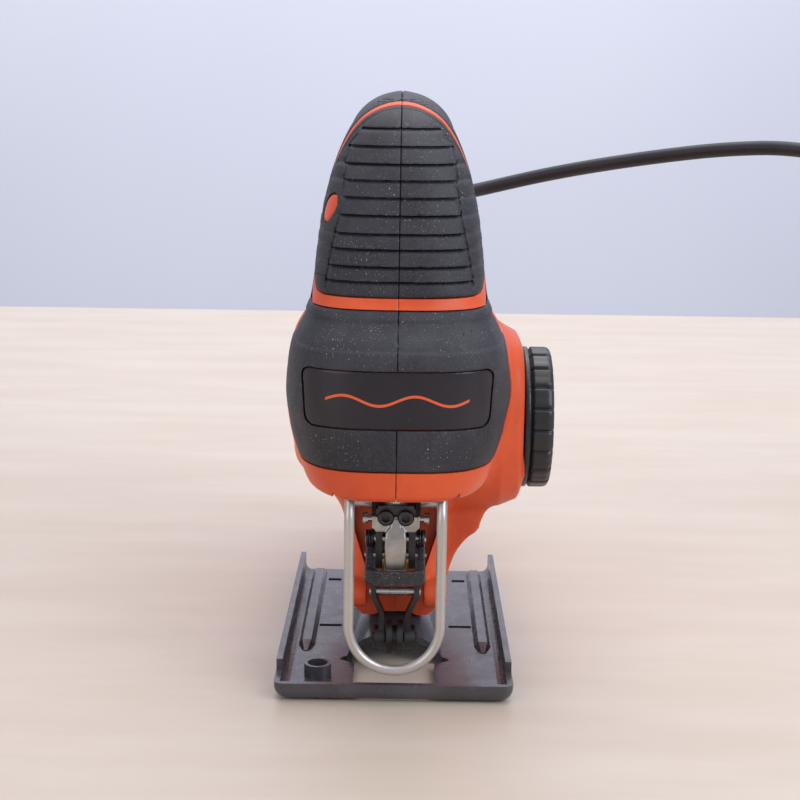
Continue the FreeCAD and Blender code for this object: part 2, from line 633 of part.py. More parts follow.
zm = D["motorheight"]
zg = zm + (D["pinionteeth"] + D["gearteeth"]) * D["gearmodule"] / 2
gear_pts = gear_outline(int(D["gearteeth"]), D["gearmodule"], math.radians(-90 + 3.75), 0.16)
blankg = prism("drive_gear_teeth", [(x, z + zg) for x, z in gear_pts], "xz", D["gearfront"], D["gearfront"] + D["gearwidth"])
hub = cyl("drive_gear_hub", 8, 3.5, 0, "gearfront+gearwidth", "motorheight+24", "y")
bore = cyl("drive_gear_bore", "crankradius+1+runclear", 20, 0, -23.6, "motorheight+24", "y")
crank = cyl("crank_pin_round", "crankradius", 13.5, "crankthrow", -33.5, "motorheight+24", "y")
keep("drive_gear", cut("drive_gear_cut", fuse("drive_gear_blank", blankg, hub, crank), bore))
pin_pts = gear_outline(int(D["pinionteeth"]), D["gearmodule"], math.radians(90), 0.16)
pin_t = prism("pinion_teeth", [(x, z + zm) for x, z in pin_pts], "xz", -25.5, -14.5)
keep("motor_pinion", cut("motor_pinion_cut", pin_t, cyl("pinion_bore", 2.2, 20, 0, -28, "motorheight", "y")))

# ------------------------------------------------------------------- motor
shaft = fuse("armature_shaft_turned", cyl("shaft_nose", 2.2, 13, 0, -26.5, "motorheight", "y"),
             cyl("shaft_main", "shaftradius", 138.5, 0, -13.5, "motorheight", "y"))
keep("armature_shaft", shaft)
core = cyl("core_round", "armatureradius", "statorlength", 0, "statorfront", "motorheight", "y")
slots = []
for k in range(12):
    a = 2 * math.pi * k / 12
    s = doc.addObject("Part::Box", "core_slot%d" % k)
    s.Length, s.Width, s.Height = 3.0, 60, 7
    s.Placement = Placement(V(0, 18, zm), Rotation(V(0, 1, 0), math.degrees(a))) * Placement(V(-1.5, 0, 7.4), Rotation())
    slots.append(s)
slot_set = fuse("core_slots", *slots)
core_cut = doc.addObject("Part::Cut", "core_slotted")
core_cut.Base, core_cut.Tool = core, slot_set
core_bore = cyl("core_bore", "shaftradius", 80, 0, 10, "motorheight", "y")
keep("armature_core", cut("armature_core_cut", core_cut, core_bore))
bars = []
for k in range(12):
    a = 2 * math.pi * k / 12
    s = doc.addObject("Part::Box", "winding_bar%d" % k)
    s.Length, s.Width, s.Height = 3.0, 53, 5.6
    s.Placement = Placement(V(0, 21, zm), Rotation(V(0, 1, 0), math.degrees(a))) * Placement(V(-1.5, 0, 7.4), Rotation())
    bars.append(s)
wf = cyl("winding_front", 13.2, 7, 0, 18, "motorheight", "y")
wr = cyl("winding_rear", 13.2, 8, 0, 70, "motorheight", "y")
wb = cyl("winding_bore", "shaftradius", 90, 0, 5, "motorheight", "y")
keep("armature_windings", cut("armature_windings_cut", fuse("armature_windings_wound", wf, wr, *bars), wb))
ring("commutator", "commutatorradius", "shaftradius", 15, 0, 84, "motorheight", "y")
blades = []
for k in range(11):
    b = doc.addObject("Part::Box", "fan_blade%d" % k)
    b.Length, b.Width, b.Height = 1.2, 7, 13.5
    b.Placement = Placement(V(0, 5.0, zm), Rotation(V(0, 1, 0), 360.0 * k / 11)) * Placement(V(-0.6, 0, 8.5), Rotation(V(0, 0, 1), 0))
    blades.append(b)
fan_disc = cyl("fan_disc", "fanradius", 1.6, 0, 3.6, "motorheight", "y")
fan_hub = cyl("fan_hub", 7, 9, 0, 3.6, "motorheight", "y")
keep("fan", cut("fan_cut", fuse("fan_moulded", fan_disc, fan_hub, *blades), cyl("fan_bore", "shaftradius", 20, 0, 0, "motorheight", "y")))

st = cyl("stator_round", "statorradius", "statorlength", 0, "statorfront", "motorheight", "y")
st_bore = cyl("stator_bore", "statorbore", 60, 0, 18, "motorheight", "y")
st_l = box("stator_slot_left", 14, 22, 10, 90, "motorheight-8", "motorheight+8")
st_r = box("stator_slot_right", -22, -14, 10, 90, "motorheight-8", "motorheight+8")
keep("stator_core", cut("stator_core_cut", st, st_bore, st_l, st_r))
bar_l = box("field_bar_left", 16, 21.6, 18, 77, "motorheight-7.4", "motorheight+7.4")
bar_r = box("field_bar_right", -21.6, -16, 18, 77, "motorheight-7.4", "motorheight+7.4")
fr = cut("field_front", cyl("field_front_out", 23.5, 6, 0, 18.5, "motorheight", "y"), cyl("field_front_in", 15.6, 10, 0, 16, "motorheight", "y"))
rr_ = cut("field_rear", cyl("field_rear_out", 23.5, 6, 0, 70.5, "motorheight", "y"), cyl("field_rear_in", 15.6, 10, 0, 68, "motorheight", "y"))
keep("stator_windings", fuse("field_coils", bar_l, bar_r, fr, rr_))

holders, brushes = [], []
for s in (1, -1):
    o_ = box("holder_out%+d" % s, min(s * 11.5, s * 27), max(s * 11.5, s * 27), 86, 97, "motorheight-5.2", "motorheight+5.2")
    i_ = box("holder_in%+d" % s, min(s * 10, s * 24.6), max(s * 10, s * 24.6), 88, 95, "motorheight-3.2", "motorheight+3.2")
    holders.append(cut("holder%+d" % s, o_, i_))
    brushes.append(box("brush%+d" % s, min(s * 10.2, s * 22), max(s * 10.2, s * 22), 88, 95, "motorheight-3.2", "motorheight+3.2"))
c1 = doc.addObject("Part::Compound", "holder_pair")
c1.Links = holders
keep("brush_holders", c1)
c2 = doc.addObject("Part::Compound", "brush_pair")
c2.Links = brushes
keep("carbon_brushes", c2)

# --------------------------------------------------------- plunger and its yoke
keep("plunger", cyl("plunger_bar", "plungerradius", "plungertop-plungerlow", 0, "plungery", "plungerlow"))
yh = box("yoke_hub", -7, 7, -54, -41, "motorheight+24-6.5", "motorheight+24+6.5")
yp = box("yoke_plate", -15, 15, -41, -34, "motorheight+24-7", "motorheight+24+7")
ys = box("yoke_slot", -12, 12, -41, -30, "motorheight+24-crankradius-0.1", "motorheight+24+crankradius+0.1")
yb = cyl("yoke_bore", "plungerradius", 30, 0, "plungery", 92)
keep("yoke", cut("yoke_cut", fuse("yoke_blank", yh, yp), ys, yb))

# ------------------------------------------------------------- blade clamp
h1 = box("clamp_block", -5.7, 5.7, -53.5, -43.5, 52.6, 61)
h2 = box("clamp_cheek_left", 4.2, 6.3, -53.5, -43.5, 40.5, 60)
h3 = box("clamp_cheek_right", -6.3, -4.2, -53.5, -43.5, 40.5, 60)
hbore = cyl("clamp_bore", "plungerradius", 10, 0, "plungery", "plungerlow")
hp1 = cyl("clamp_hole_top", 1.2, 40, -20, -47.5, 55.3, "x")
hp2 = cyl("clamp_hole_mid", 1.3, 40, -20, -50.0, 49.4, "x")
hp3 = cyl("clamp_hole_low", 0.75, 40, -20, -50.5, 44.2, "x")
hs = [cyl("clamp_screw_seat%+d" % s, 1.9, 1.5, 3.15 * s, -53.5, 57.4, "y") for s in (1, -1)]
keep("clamp_body", cut("clamp_body_cut", fuse("clamp_body_blank", h1, h2, h3), hbore, hp1, hp2, hp3, *hs))
sc = []
for s in (1, -1):
    a_ = cyl("eye_screw_shank%+d" % s, 1.9, 1.5, 3.15 * s, -53.5, 57.4, "y")
    b_ = cyl("eye_screw_head%+d" % s, 2.4, 1.6, 3.15 * s, -55.1, 57.4, "y")
    c_ = cyl("eye_screw_recess%+d" % s, 1.2, 1.4, 3.15 * s, -55.3, 57.4, "y")
    sc.append(cut("eye_screw%+d" % s, fuse("eye_blank%+d" % s, a_, b_), c_))
c3 = doc.addObject("Part::Compound", "eye_screws")
c3.Links = sc
keep("clamp_screws", c3)
t1 = cyl("top_pin_bar", 1.2, 21.2, -10.6, -47.5, 55.3, "x")
t2 = cyl("top_pin_head_a", 1.9, 1.6, 9.0, -47.5, 55.3, "x")
t3 = cyl("top_pin_head_b", 1.9, 1.6, -10.6, -47.5, 55.3, "x")
t4 = cyl("spring_pin_bar", 1.3, 19.4, -9.7, -50.0, 49.4, "x")
t5 = cyl("lever_pin_bar", 0.75, 19.8, -9.9, -50.5, 44.2, "x")
pins = doc.addObject("Part::Compound", "clamp_pin_set")
pins.Links = [fuse("clamp_pin_made", t1, t2, t3), t4, t5]
keep("clamp_pins", pins)
sp = []
for s in (1, -1):
    o_ = cyl("spring_out%+d" % s, "springradius", 2.7, 6.4 if s > 0 else -9.1, -50.0, 49.4, "x")
    i_ = cyl("spring_in%+d" % s, 1.3, 6.0, 5.0 if s > 0 else -10.0, -50.0, 49.4, "x")
    sp.append(cut("spring%+d" % s, o_, i_))
c4 = doc.addObject("Part::Compound", "spring_pair")
c4.Links = sp
keep("clamp_springs", c4)
tongue = prism("tongue_profile", [(-53.6, 52.4), (-55.2, 50.8), (-55.2, 38.3), (-52.8, 38.3), (-52.6, 49.0), (-52.0, 52.4)], "yz", -3.4, 3.4)
keep("blade_tongue", tongue)
br = [box("brass%+d" % s, min(s * 3.5, s * 4.1), max(s * 3.5, s * 4.1), -54.8, -46, 38.3, 44.0) for s in (1, -1)]
bb = box("brass_back", -4.1, 4.1, -46, -45, 38.3, 44.0)
keep("blade_guide_strip", cut("brass_strip_cut", fuse("brass_strip", br[0], br[1], bb), cyl("brass_hole", 0.75, 40, -20, -50.5, 44.2, "x")))

# release lever, a fork on the low pin
lv = []
for s in (1, -1):
    lv.append(prism("lever_arm%+d" % s, [(-48.6, 45.2), (-49.6, 46.0), (-51.2, 46.1), (-52.6, 45.2), (-55.6, 42.4), (-60.6, 38.4), (-60.6, 34.2),
                                         (-57.4, 34.2), (-52.6, 40.0), (-48.8, 42.6)], "yz", 7.1 * s if s > 0 else -9.4, 9.4 if s > 0 else -7.1))
lip = prism("lever_lip", [(-61.2, 38.0), (-60.4, 38.7), (-57.2, 38.4), (-56.6, 37.4), (-56.8, 34.4), (-60.6, 34.0), (-61.2, 34.6)], "yz", -9.4, 9.4)
lbore = cyl("lever_bore", "0.75+runclear", 40, -20, -50.5, 44.2, "x")
keep("release_lever", cut("release_lever_cut", fuse("release_lever_blank", lv[0], lv[1], lip), lbore))

# --------------------------------------------------------- orbital roller
bp = []
for s in (1, -1):
    def arm_box(k, a0, a1, b0, b1, c0, c1):
        return box("arm%d%+d" % (k, s), min(s * a0, s * a1), max(s * a0, s * a1), b0, b1, c0, c1)
    bp.append(arm_box(0, 6.2, 7.9, -40.5, -34.5, 26, 61))
    pts = [(s * 6.2, 26.5), (s * 7.9, 26.5), (s * 5.3, 20.5), (s * 3.5, 20.5)]
    bp.append(prism("arm_jog%+d" % s, pts, "xz", -40.5, -35.5))
    bp.append(arm_box(2, 3.5, 5.3, -40.5, -35.5, 12, 20.7))
    bp.append(cyl("arm_boss%+d" % s, 4.0, 3.4, 3.3 if s > 0 else -6.7, "rollery", "rollerz", "x"))
web = box("arm_web", -7.9, 7.9, -36.2, -34.5, 38, 50)
piv = cyl("arm_pivot_hole", "2.0+runclear", 40, -20, "bracketpivoty", "bracketpivotz", "x")
rod_hole = cyl("arm_rod_hole", 1.5, 40, -20, -38, 28, "x")
pin_hole = cyl("arm_pin_hole", 1.5, 40, -20, "rollery", "rollerz", "x")
keep("roller_bracket", cut("roller_bracket_cut", fuse("roller_bracket_blank", web, *bp), piv, rod_hole, pin_hole))
keep("bracket_pin", cyl("bracket_pin_bar", 2.0, 30, -15, "bracketpivoty", "bracketpivotz", "x"))
keep("bracket_rod", cyl("bracket_rod_bar", 1.5, 17, -8.5, -38, 28, "x"))
keep("roller_pin", cyl("roller_pin_bar", 1.5, 14.6, -7.3, "rollery", "rollerz", "x"))
r1 = cyl("roller_disc_a", "rollerradius", 1.9, 0.85, "rollery", "rollerz", "x")
r2 = cyl("roller_disc_b", "rollerradius", 1.9, -2.75, "rollery", "rollerz", "x")
r3 = cyl("roller_waist", 3.9, 5.5, -2.75, "rollery", "rollerz", "x")
r4 = cyl("roller_bore", "1.5+runclear", 10, -5, "rollery", "rollerz", "x")
keep("blade_roller", cut("blade_roller_cut", fuse("blade_roller_blank", r1, r2, r3), r4))

# -------------------------------------------------------------------- dial
dd = cyl("dial_disc", "dialradius", "dialwidth", "dialface", "dialy", "dialz", "x")
doc.recompute()
dr = round_edges("dial_rounded", dd, [(lambda q: q.XMin > 55, 3.2), (lambda q: q.XMax < 44 and q.ZLength > 30, 0.8)])
flutes = []
for k in range(int(D["dialflutes"])):
    a = 2 * math.pi * (k + 0.5) / D["dialflutes"]
    f = doc.addObject("Part::Box", "dial_flute%d" % k)
    f.Length, f.Width, f.Height = 9.0, 0.7, 2.0
    f.Placement = Placement(V(46.6, D["dialy"], D["dialz"]), Rotation(V(1, 0, 0), math.degrees(a))) * Placement(V(0, -0.35, D["dialradius"] - 0.9), Rotation())
    flutes.append(f)
dish = cone("dial_dish", 15, 16.5, 1.2, 54.2, "dialy", "dialz", "x")
dsock = cyl("dial_bore", 4.0, 7.0, 42, "dialy", "dialz", "x")
dial = cut("dial_cut", dr, dish, dsock, *flutes)
pointer = box("dial_pointer_bar", 53.8, 54.9, "dialy-1.3", "dialy+1.3", "dialz+3", "dialz+13")
keep("mode_dial", fuse("dial_whole", dial, pointer))
spn = fuse("dial_spindle_turned", cyl("spindle_bar", 4.0, 25, 24, "dialy", "dialz", "x"), cyl("spindle_cam", 6.0, 3.0, 24.0, "dialy", "dialz", "x"))
keep("dial_spindle", spn)

# ----------------------------------------------------------- switch and trigger
keep("trigger_switch", box("switch_case", -9, 9, 4, 40, 168, 183))
tr = box("trigger_case", -8, 8, 6, 38, 144, 160)
trr = round_edges("trigger_rounded", tr, [(lambda q: q.YLength > 30 and flat(q.ZMax, 144), 5.0), (lambda q: q.XLength > 3 and flat(q.ZMax, 144), 1.5)][:1])
tl = box("trigger_ledge", -10.5, 10.5, 6, 38, 157, 160)
keep("trigger", fuse("trigger_moulded", trr, tl))
ts = cut("trigger_spring_coil", cyl("trigger_spring_out", 3.4, 8, 0, 22, 160), cyl("trigger_spring_in", 2.2, 12, 0, 22, 158))
keep("trigger_spring", ts)
cap = cyl("lock_button_cap", "buttonradius", 18.4, -26.0, "buttony", "buttonz", "x")
cap_form = feature("lock_button_form", head(-0.35))
lb = fuse("lock_button_moulded", common("lock_button_top", cap, cap_form),
          cyl("lock_button_collar", "buttonradius+0.7", 1.6, -8.8, "buttony", "buttonz", "x"))
keep("lock_button", lb)

# ------------------------------------------------------------- cord and plug
guard_cone = cone("cord_guard_cone", 6.4, 4.6, "cordexit-149.5", 0, 149.5, "cordz", "y")
guard_root = cyl("cord_guard_root", 7.6, 8.5, 0, 142, "cordz", "y")
guard_flange = cyl("cord_guard_flange", 9.2, 2.0, 0, 139.6, "cordz", "y")
keep("cord_guard", fuse("cord_guard_moulded", guard_cone, guard_root, guard_flange))
cc = box("cord_clamp_bar", -10, 10, 130, 136, 139, 146)
keep("cord_clamp", cc)

cd = D["corddiameter"]
cx, cy, cm = D["coilx"], D["coily"], D["coilmean"]
ROUTE = [
    (0, D["cordexit"], D["cordz"]), (0.1, 193.5, 141.7), (5.8, 207.5, 140.8), (16.5, 218.2, 140.3),
    (30.5, 224, 141.5), (45.6, 223.3, 145.2), (66, 217, 150.6), (91, 206.5, 156.2), (118, 194, 161.3),
    (145, 181, 165.4), (171, 167.5, 167.0), (196, 155, 162.3), (218, 144.5, 149.5), (238, 135, 127.5),
    (254, 125.5, 100.5), (266, 114, 73), (273.5, 99, 47.5), (276.5, 81, 27), (cx + cm, 63, 15.0),
]


def route_radii(points):
    out = []
    for a, b, c in zip(points, points[1:], points[2:]):
        a, b, c = V(*a), V(*b), V(*c)
        u, v = (a - b), (c - b)
        ang = math.pi - u.getAngle(v)
        out.append(0.45 * min(u.Length, v.Length) / math.tan(ang / 2))
    return out


radii = route_radii(ROUTE)
print("cord runs", [round((V(*b) - V(*a)).Length, 1) for a, b in zip(ROUTE, ROUTE[1:])])
print("cord radii", [round(r) for r in radii], "limit", 5 * cd)
cord_shape, cord_len = tube(ROUTE, radii, cd / 2)
keep("power_cord", feature("power_cord_tube", cord_shape))
TAIL = [(cx - cm, cy + 6, cd / 2), (cx - cm - 1.0, cy + 36, cd / 2), (cx - cm + 6, cy + 62, cd / 2 + 0.6), (cx - cm + 13, cy + 86, 8.0)]
rt = route_radii(TAIL)
print("tail radii", [round(r) for r in rt])
tail_shape, tail_len = tube(TAIL, rt, cd / 2)
keep("cord_tail", feature("cord_tail_tube", tail_shape))
coil_out = cyl("coil_out", "coilmean+1.5*corddiameter", "3*corddiameter-1.5", "coilx", "coily", 0)
coil_in = cyl("coil_in", "coilmean-1.5*corddiameter", 60, "coilx", "coily", -10)
coil_cut = cut("coil_ring", coil_out, coil_in)
coil_round = round_edges("coil_rounded", coil_cut, [(lambda q: True, 4.0)])
coil_round.Edges = [(i + 1, 4.0, 4.0) for i, e in enumerate(coil_cut.Shape.Edges) if isinstance(e.Curve, Part.Circle)]
keep("cord_coil", coil_round)
e0, e1 = V(*TAIL[-2]), V(*TAIL[-1])
u = (e1 - e0)
u.z = 0
u.normalize()
ang = math.degrees(math.atan2(u.y, u.x))


def plug_shape():
    """A two-pin plug lying on its flat side: grip, body, face."""
    def sec(x, w, h, n=3.0):
        return closed_spline([V(x, a, b) for a, b in ring_points(w, 0, 2 * h, n)])
    s = loft([sec(0, 4.2, 4.2, 2.0), sec(8, 5.0, 4.8, 2.2), sec(18, 6.6, 6.0), sec(27, 9.5, 8.0), sec(34, 11.5, 8.0), sec(38, 11.5, 8.0)])
    return s


plug = plug_shape()
base_z = 0.0
pl = Placement(V(e1.x - u.x * 1.0, e1.y - u.y * 1.0, base_z), Rotation(V(0, 0, 1), ang))
plug.Placement = pl
keep("plug_body", feature("plug_moulding", plug))
pbl = []
for s in (1, -1):
    b = doc.addObject("Part::Box", "plug_blade%+d" % s)
    b.Length, b.Width, b.Height = 17, 1.5, 6.2
    b.Placement = pl * Placement(V(38.0, 6.35 * s - 0.75, 4.9), Rotation())
    pbl.append(b)
c5 = doc.addObject("Part::Compound", "plug_blade_pair")
c5.Links = pbl
keep("plug_blades", c5)
ties = cut("tie_cut", box("tie_out", cx - cm - 11.2, cx - cm + 11.2, cy - 3.5, cy + 3.5, 0, 19.6), box("tie_in", cx - cm - 10.0, cx - cm + 10.0, cy - 6, cy + 6, 1.0, 18.4))
cord_total = 1800.0
print("seen cord", round(cord_len + tail_len, 1), "coil turns length", round(cord_total - cord_len - tail_len, 1))

# ------------------------------------------------------------------ write out
doc.recompute()
bad = [o.Name for o in doc.Objects if "Invalid" in o.State or "Error" in o.State]
for label, o in PARTS.items():
    sh = o.Shape
    if sh.isNull() or not sh.isValid() or sh.Volume <= 0:
        bad.append(label)
print("nodes", len(PARTS), "bad", bad)
if bad:
    raise SystemExit("failed: " + ", ".join(bad))
os.makedirs("parts", exist_ok=True)
for f in os.listdir("parts"):
    os.remove(os.path.join("parts", f))
for label, o in PARTS.items():
    print("%-22s %9.1f mm3 %d solid(s)" % (label, o.Shape.Volume, len(o.Shape.Solids)))
    o.Shape.exportStep("parts/%s.step" % label)
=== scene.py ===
"""Looks of the jigsaw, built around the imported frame.  Shapes are worked out in millimetres."""
import json
import math
import time

import bpy
import numpy as np
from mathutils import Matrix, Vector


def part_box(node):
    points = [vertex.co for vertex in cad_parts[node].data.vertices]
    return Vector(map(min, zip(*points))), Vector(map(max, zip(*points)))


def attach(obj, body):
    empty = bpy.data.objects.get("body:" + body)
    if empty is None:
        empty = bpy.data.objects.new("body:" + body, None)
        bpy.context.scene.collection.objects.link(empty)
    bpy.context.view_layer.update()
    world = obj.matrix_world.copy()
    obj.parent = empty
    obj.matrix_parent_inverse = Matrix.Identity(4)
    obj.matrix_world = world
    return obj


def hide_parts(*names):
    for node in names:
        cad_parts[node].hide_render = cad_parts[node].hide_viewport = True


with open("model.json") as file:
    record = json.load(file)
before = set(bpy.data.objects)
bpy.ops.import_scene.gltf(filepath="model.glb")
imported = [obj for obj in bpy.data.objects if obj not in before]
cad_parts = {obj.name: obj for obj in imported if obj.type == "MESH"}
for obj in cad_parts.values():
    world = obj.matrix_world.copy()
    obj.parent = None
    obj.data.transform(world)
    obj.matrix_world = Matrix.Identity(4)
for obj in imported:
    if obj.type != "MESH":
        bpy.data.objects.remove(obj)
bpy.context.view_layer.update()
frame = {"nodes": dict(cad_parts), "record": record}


NODES = frame["nodes"]
scene = bpy.context.scene

# ---------------------------------------------------------------- camera
from mathutils import Matrix

cam_data = bpy.data.cameras.new("camera")
cam_data.lens, cam_data.sensor_width = 69.06, 36.0
cam_data.clip_start, cam_data.clip_end = 0.02, 20.0
camera = bpy.data.objects.new("camera", cam_data)
scene.collection.objects.link(camera)
camera.matrix_world = (Matrix.Translation((0.002486, -0.52097, 0.18992)) @ Matrix.Rotation(math.radians(0.210), 4, "Z")
                       @ Matrix.Rotation(math.radians(90 - 11.458), 4, "X") @ Matrix.Rotation(math.radians(0.807), 4, "Z"))
scene.camera = camera

# ---------------------------------------------------------------- cord
ROUTE = [(0, 178.5, 142.5), (0.1, 193.5, 141.7), (5.8, 207.5, 140.8), (16.5, 218.2, 140.3), (30.5, 224, 141.5),
         (45.6, 223.3, 145.2), (66, 217, 150.6), (91, 206.5, 156.2), (118, 194, 161.3), (145, 181, 165.4),
         (171, 167.5, 167.0), (196, 155, 162.3), (218, 144.5, 149.5), (238, 135, 127.5), (254, 125.5, 100.5),
         (266, 114, 73), (273.5, 99, 47.5), (276.5, 81, 27), (276, 63, 15.0)]
TAIL = [(198.3, 79, 3.25), (203, 98, 3.3), (210, 122, 3.85), (217, 146, 8.0)]
COIL_C, COIL_SLOTS = (240.0, 60.0), [(36.3, 14.4), (39.6, 8.9), (33.1, 8.9), (29.9, 3.3), (36.4, 3.3), (42.6, 3.3)]


def coil_points():
    """The put-away length: turns beside and on each other, each a little off its neighbour."""
    shifts = [-335 - 329 * k for k in range(5)]
    out = []
    for a in range(-22, -1980, -28):
        r, z = COIL_SLOTS[0]
        for s, (r1, z1) in zip(shifts, COIL_SLOTS[1:]):
            t = min(max((s + 24 - a) / 48.0, 0.0), 1.0)
            t = t * t * (3 - 2 * t)
            r, z = r + (r1 - r) * t, z + (z1 - z) * t
        r += 0.35 * math.sin(math.radians(a * 1.37)) * (0.3 if z > 12 else 1.0)
        q = math.radians(a)
        out.append((COIL_C[0] + 1.017 * r * math.cos(q), COIL_C[1] + 1.017 * r * math.sin(q), z))
    return out


cord_curve = bpy.data.curves.new("flex", "CURVE")
cord_curve.dimensions = "3D"
spl = cord_curve.splines.new("NURBS")
cord_pts = ROUTE + coil_points() + TAIL
spl.points.add(len(cord_pts) - 1)
for sp, q in zip(spl.points, cord_pts):
    sp.co = (q[0] * 0.001, q[1] * 0.001, q[2] * 0.001, 1.0)
spl.order_u = 3
spl.use_endpoint_u = True
spl.resolution_u = 10
guide = bpy.data.objects.new("flex_line", cord_curve)
scene.collection.objects.link(guide)
bpy.context.view_layer.update()


def from_curve(o):
    dg = bpy.context.evaluated_depsgraph_get()
    dg.update()
    return bpy.data.meshes.new_from_object(o.evaluated_get(dg), depsgraph=dg)


line = from_curve(guide)
cord_path = [tuple(v.co) for v in line.vertices]
cord_curve.bevel_depth = 0.00325
cord_curve.bevel_resolution = 6
cord_curve.use_fill_caps = True
bpy.context.view_layer.update()
flex_mesh = from_curve(guide)
flex_mesh.shade_smooth()
bpy.data.objects.remove(guide)
cord = bpy.data.objects.new("flex", flex_mesh)
scene.collection.objects.link(cord)
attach(cord, "housing")
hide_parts("power_cord", "cord_coil", "cord_tail")
# ---------------------------------------------------------------- field kernel
# Shapes are signed fields in millimetres, negative inside.  mesh_field() turns one
# into a mesh with its sharp edges kept.
def smin(a, b, k):
    if np.max(k) <= 0:
        return np.minimum(a, b)
    h = np.maximum(k - np.abs(a - b), 0) / k
    return np.minimum(a, b) - h * h * k * 0.25


def smax(a, b, k):
    return -smin(-a, -b, k)


def table(us, vs, n=2400):
    """A smooth monotone curve through the rows, as a lookup table."""
    us, vs = np.asarray(us, float), np.asarray(vs, float)
    d = np.diff(vs) / np.diff(us)
    m = np.zeros_like(vs)
    m[0], m[-1] = d[0], d[-1]
    for i in range(1, len(vs) - 1):
        if d[i - 1] * d[i] > 0:
            w1 = 2 * (us[i + 1] - us[i]) + (us[i] - us[i - 1])
            w2 = (us[i + 1] - us[i]) + 2 * (us[i] - us[i - 1])
            m[i] = (w1 + w2) / (w1 / d[i - 1] + w2 / d[i])
    x = np.linspace(us[0], us[-1], n)
    k = np.clip(np.searchsorted(us, x, side="right") - 1, 0, len(us) - 2)
    hh = us[k + 1] - us[k]
    t = (x - us[k]) / hh
    y = ((2 * t ** 3 - 3 * t ** 2 + 1) * vs[k] + (t ** 3 - 2 * t ** 2 + t) * hh * m[k]
         + (-2 * t ** 3 + 3 * t ** 2) * vs[k + 1] + (t ** 3 - t ** 2) * hh * m[k + 1])
    return x, y


class Loft:
    """Superellipse sections along one axis: rows of (u, half width, low, high, squareness)."""

    def __init__(self, rows, along, across, other, cap=3.0, centre=0.0):
        r = np.array(rows, float)
        self.t = [table(r[:, 0], r[:, i]) for i in range(1, 5)]
        self.u0, self.u1 = r[0, 0], r[-1, 0]
        self.along, self.across, self.other, self.cap, self.centre = along, across, other, cap, centre

    def __call__(self, p):
        u = p[:, self.along]
        w, lo, hi, n = [np.interp(u, x, y) for x, y in self.t]
        a = np.abs(p[:, self.across] - self.centre) / w
        h = (hi - lo) / 2
        b = np.abs(p[:, self.other] - (hi + lo) / 2) / h
        a, b = np.maximum(a, 1e-5), np.maximum(b, 1e-5)
        an, bn = a ** n, b ** n
        q = (an + bn) ** (1 / n)
        g = q ** (1 - n) * np.sqrt((an / a / w) ** 2 + (bn / b / h) ** 2)
        d = (q - 1) / g
        d = smax(d, self.u0 - u, self.cap)
        return smax(d, u - self.u1, self.cap)


def f_box(p, lo, hi, r=0.0):
    c, h = (np.array(lo, float) + hi) / 2, (np.array(hi, float) - lo) / 2 - r
    q = np.abs(p - c) - h
    return np.linalg.norm(np.maximum(q, 0), axis=1) + np.minimum(q.max(1), 0) - r


def f_cyl(p, axis, centre, radius, lo, hi, r=0.0):
    o = [i for i in range(3) if i != axis]
    d = np.hypot(p[:, o[0]] - centre[0], p[:, o[1]] - centre[1]) - (radius - r)
    e = np.abs(p[:, axis] - (lo + hi) / 2) - ((hi - lo) / 2 - r)
    return np.minimum(np.maximum(d, e), 0) + np.hypot(np.maximum(d, 0), np.maximum(e, 0)) - r


def f_torus(p, axis, centre, big, small):
    o = [i for i in range(3) if i != axis]
    d = np.hypot(p[:, o[0]] - centre[o[0]], p[:, o[1]] - centre[o[1]]) - big
    return np.hypot(d, p[:, axis] - centre[axis]) - small


def f_poly(p, i, j, pts):
    """Signed distance to a closed outline in the plane of axes i and j."""
    v = np.array(pts, float)
    x, y = p[:, i], p[:, j]
    best = np.full(len(p), 1e9)
    inside = np.zeros(len(p), bool)
    for a, b in zip(v, np.roll(v, -1, axis=0)):
        e = b - a
        wx, wy = x - a[0], y - a[1]
        t = np.clip((wx * e[0] + wy * e[1]) / (e @ e), 0, 1)
        best = np.minimum(best, (wx - t * e[0]) ** 2 + (wy - t * e[1]) ** 2)
        c = ((a[1] > y) != (b[1] > y))
        with np.errstate(divide="ignore", invalid="ignore"):
            c &= x < (b[0] - a[0]) * (y - a[1]) / (b[1] - a[1] + 1e-30) + a[0]
        inside ^= c
    d = np.sqrt(best)
    return np.where(inside, -d, d)


def f_prism(p, i, j, pts, k, lo, hi, r=0.0):
    d = f_poly(p, i, j, pts) + r
    e = np.abs(p[:, k] - (lo + hi) / 2) - ((hi - lo) / 2 - r)
    return np.minimum(np.maximum(d, e), 0) + np.hypot(np.maximum(d, 0), np.maximum(e, 0)) - r


def f_capsule(p, a, b, r):
    a, b = np.array(a, float), np.array(b, float)
    ab = b - a
    t = np.clip(((p - a) @ ab) / (ab @ ab), 0, 1)
    return np.linalg.norm(p - a - t[:, None] * ab, axis=1) - r


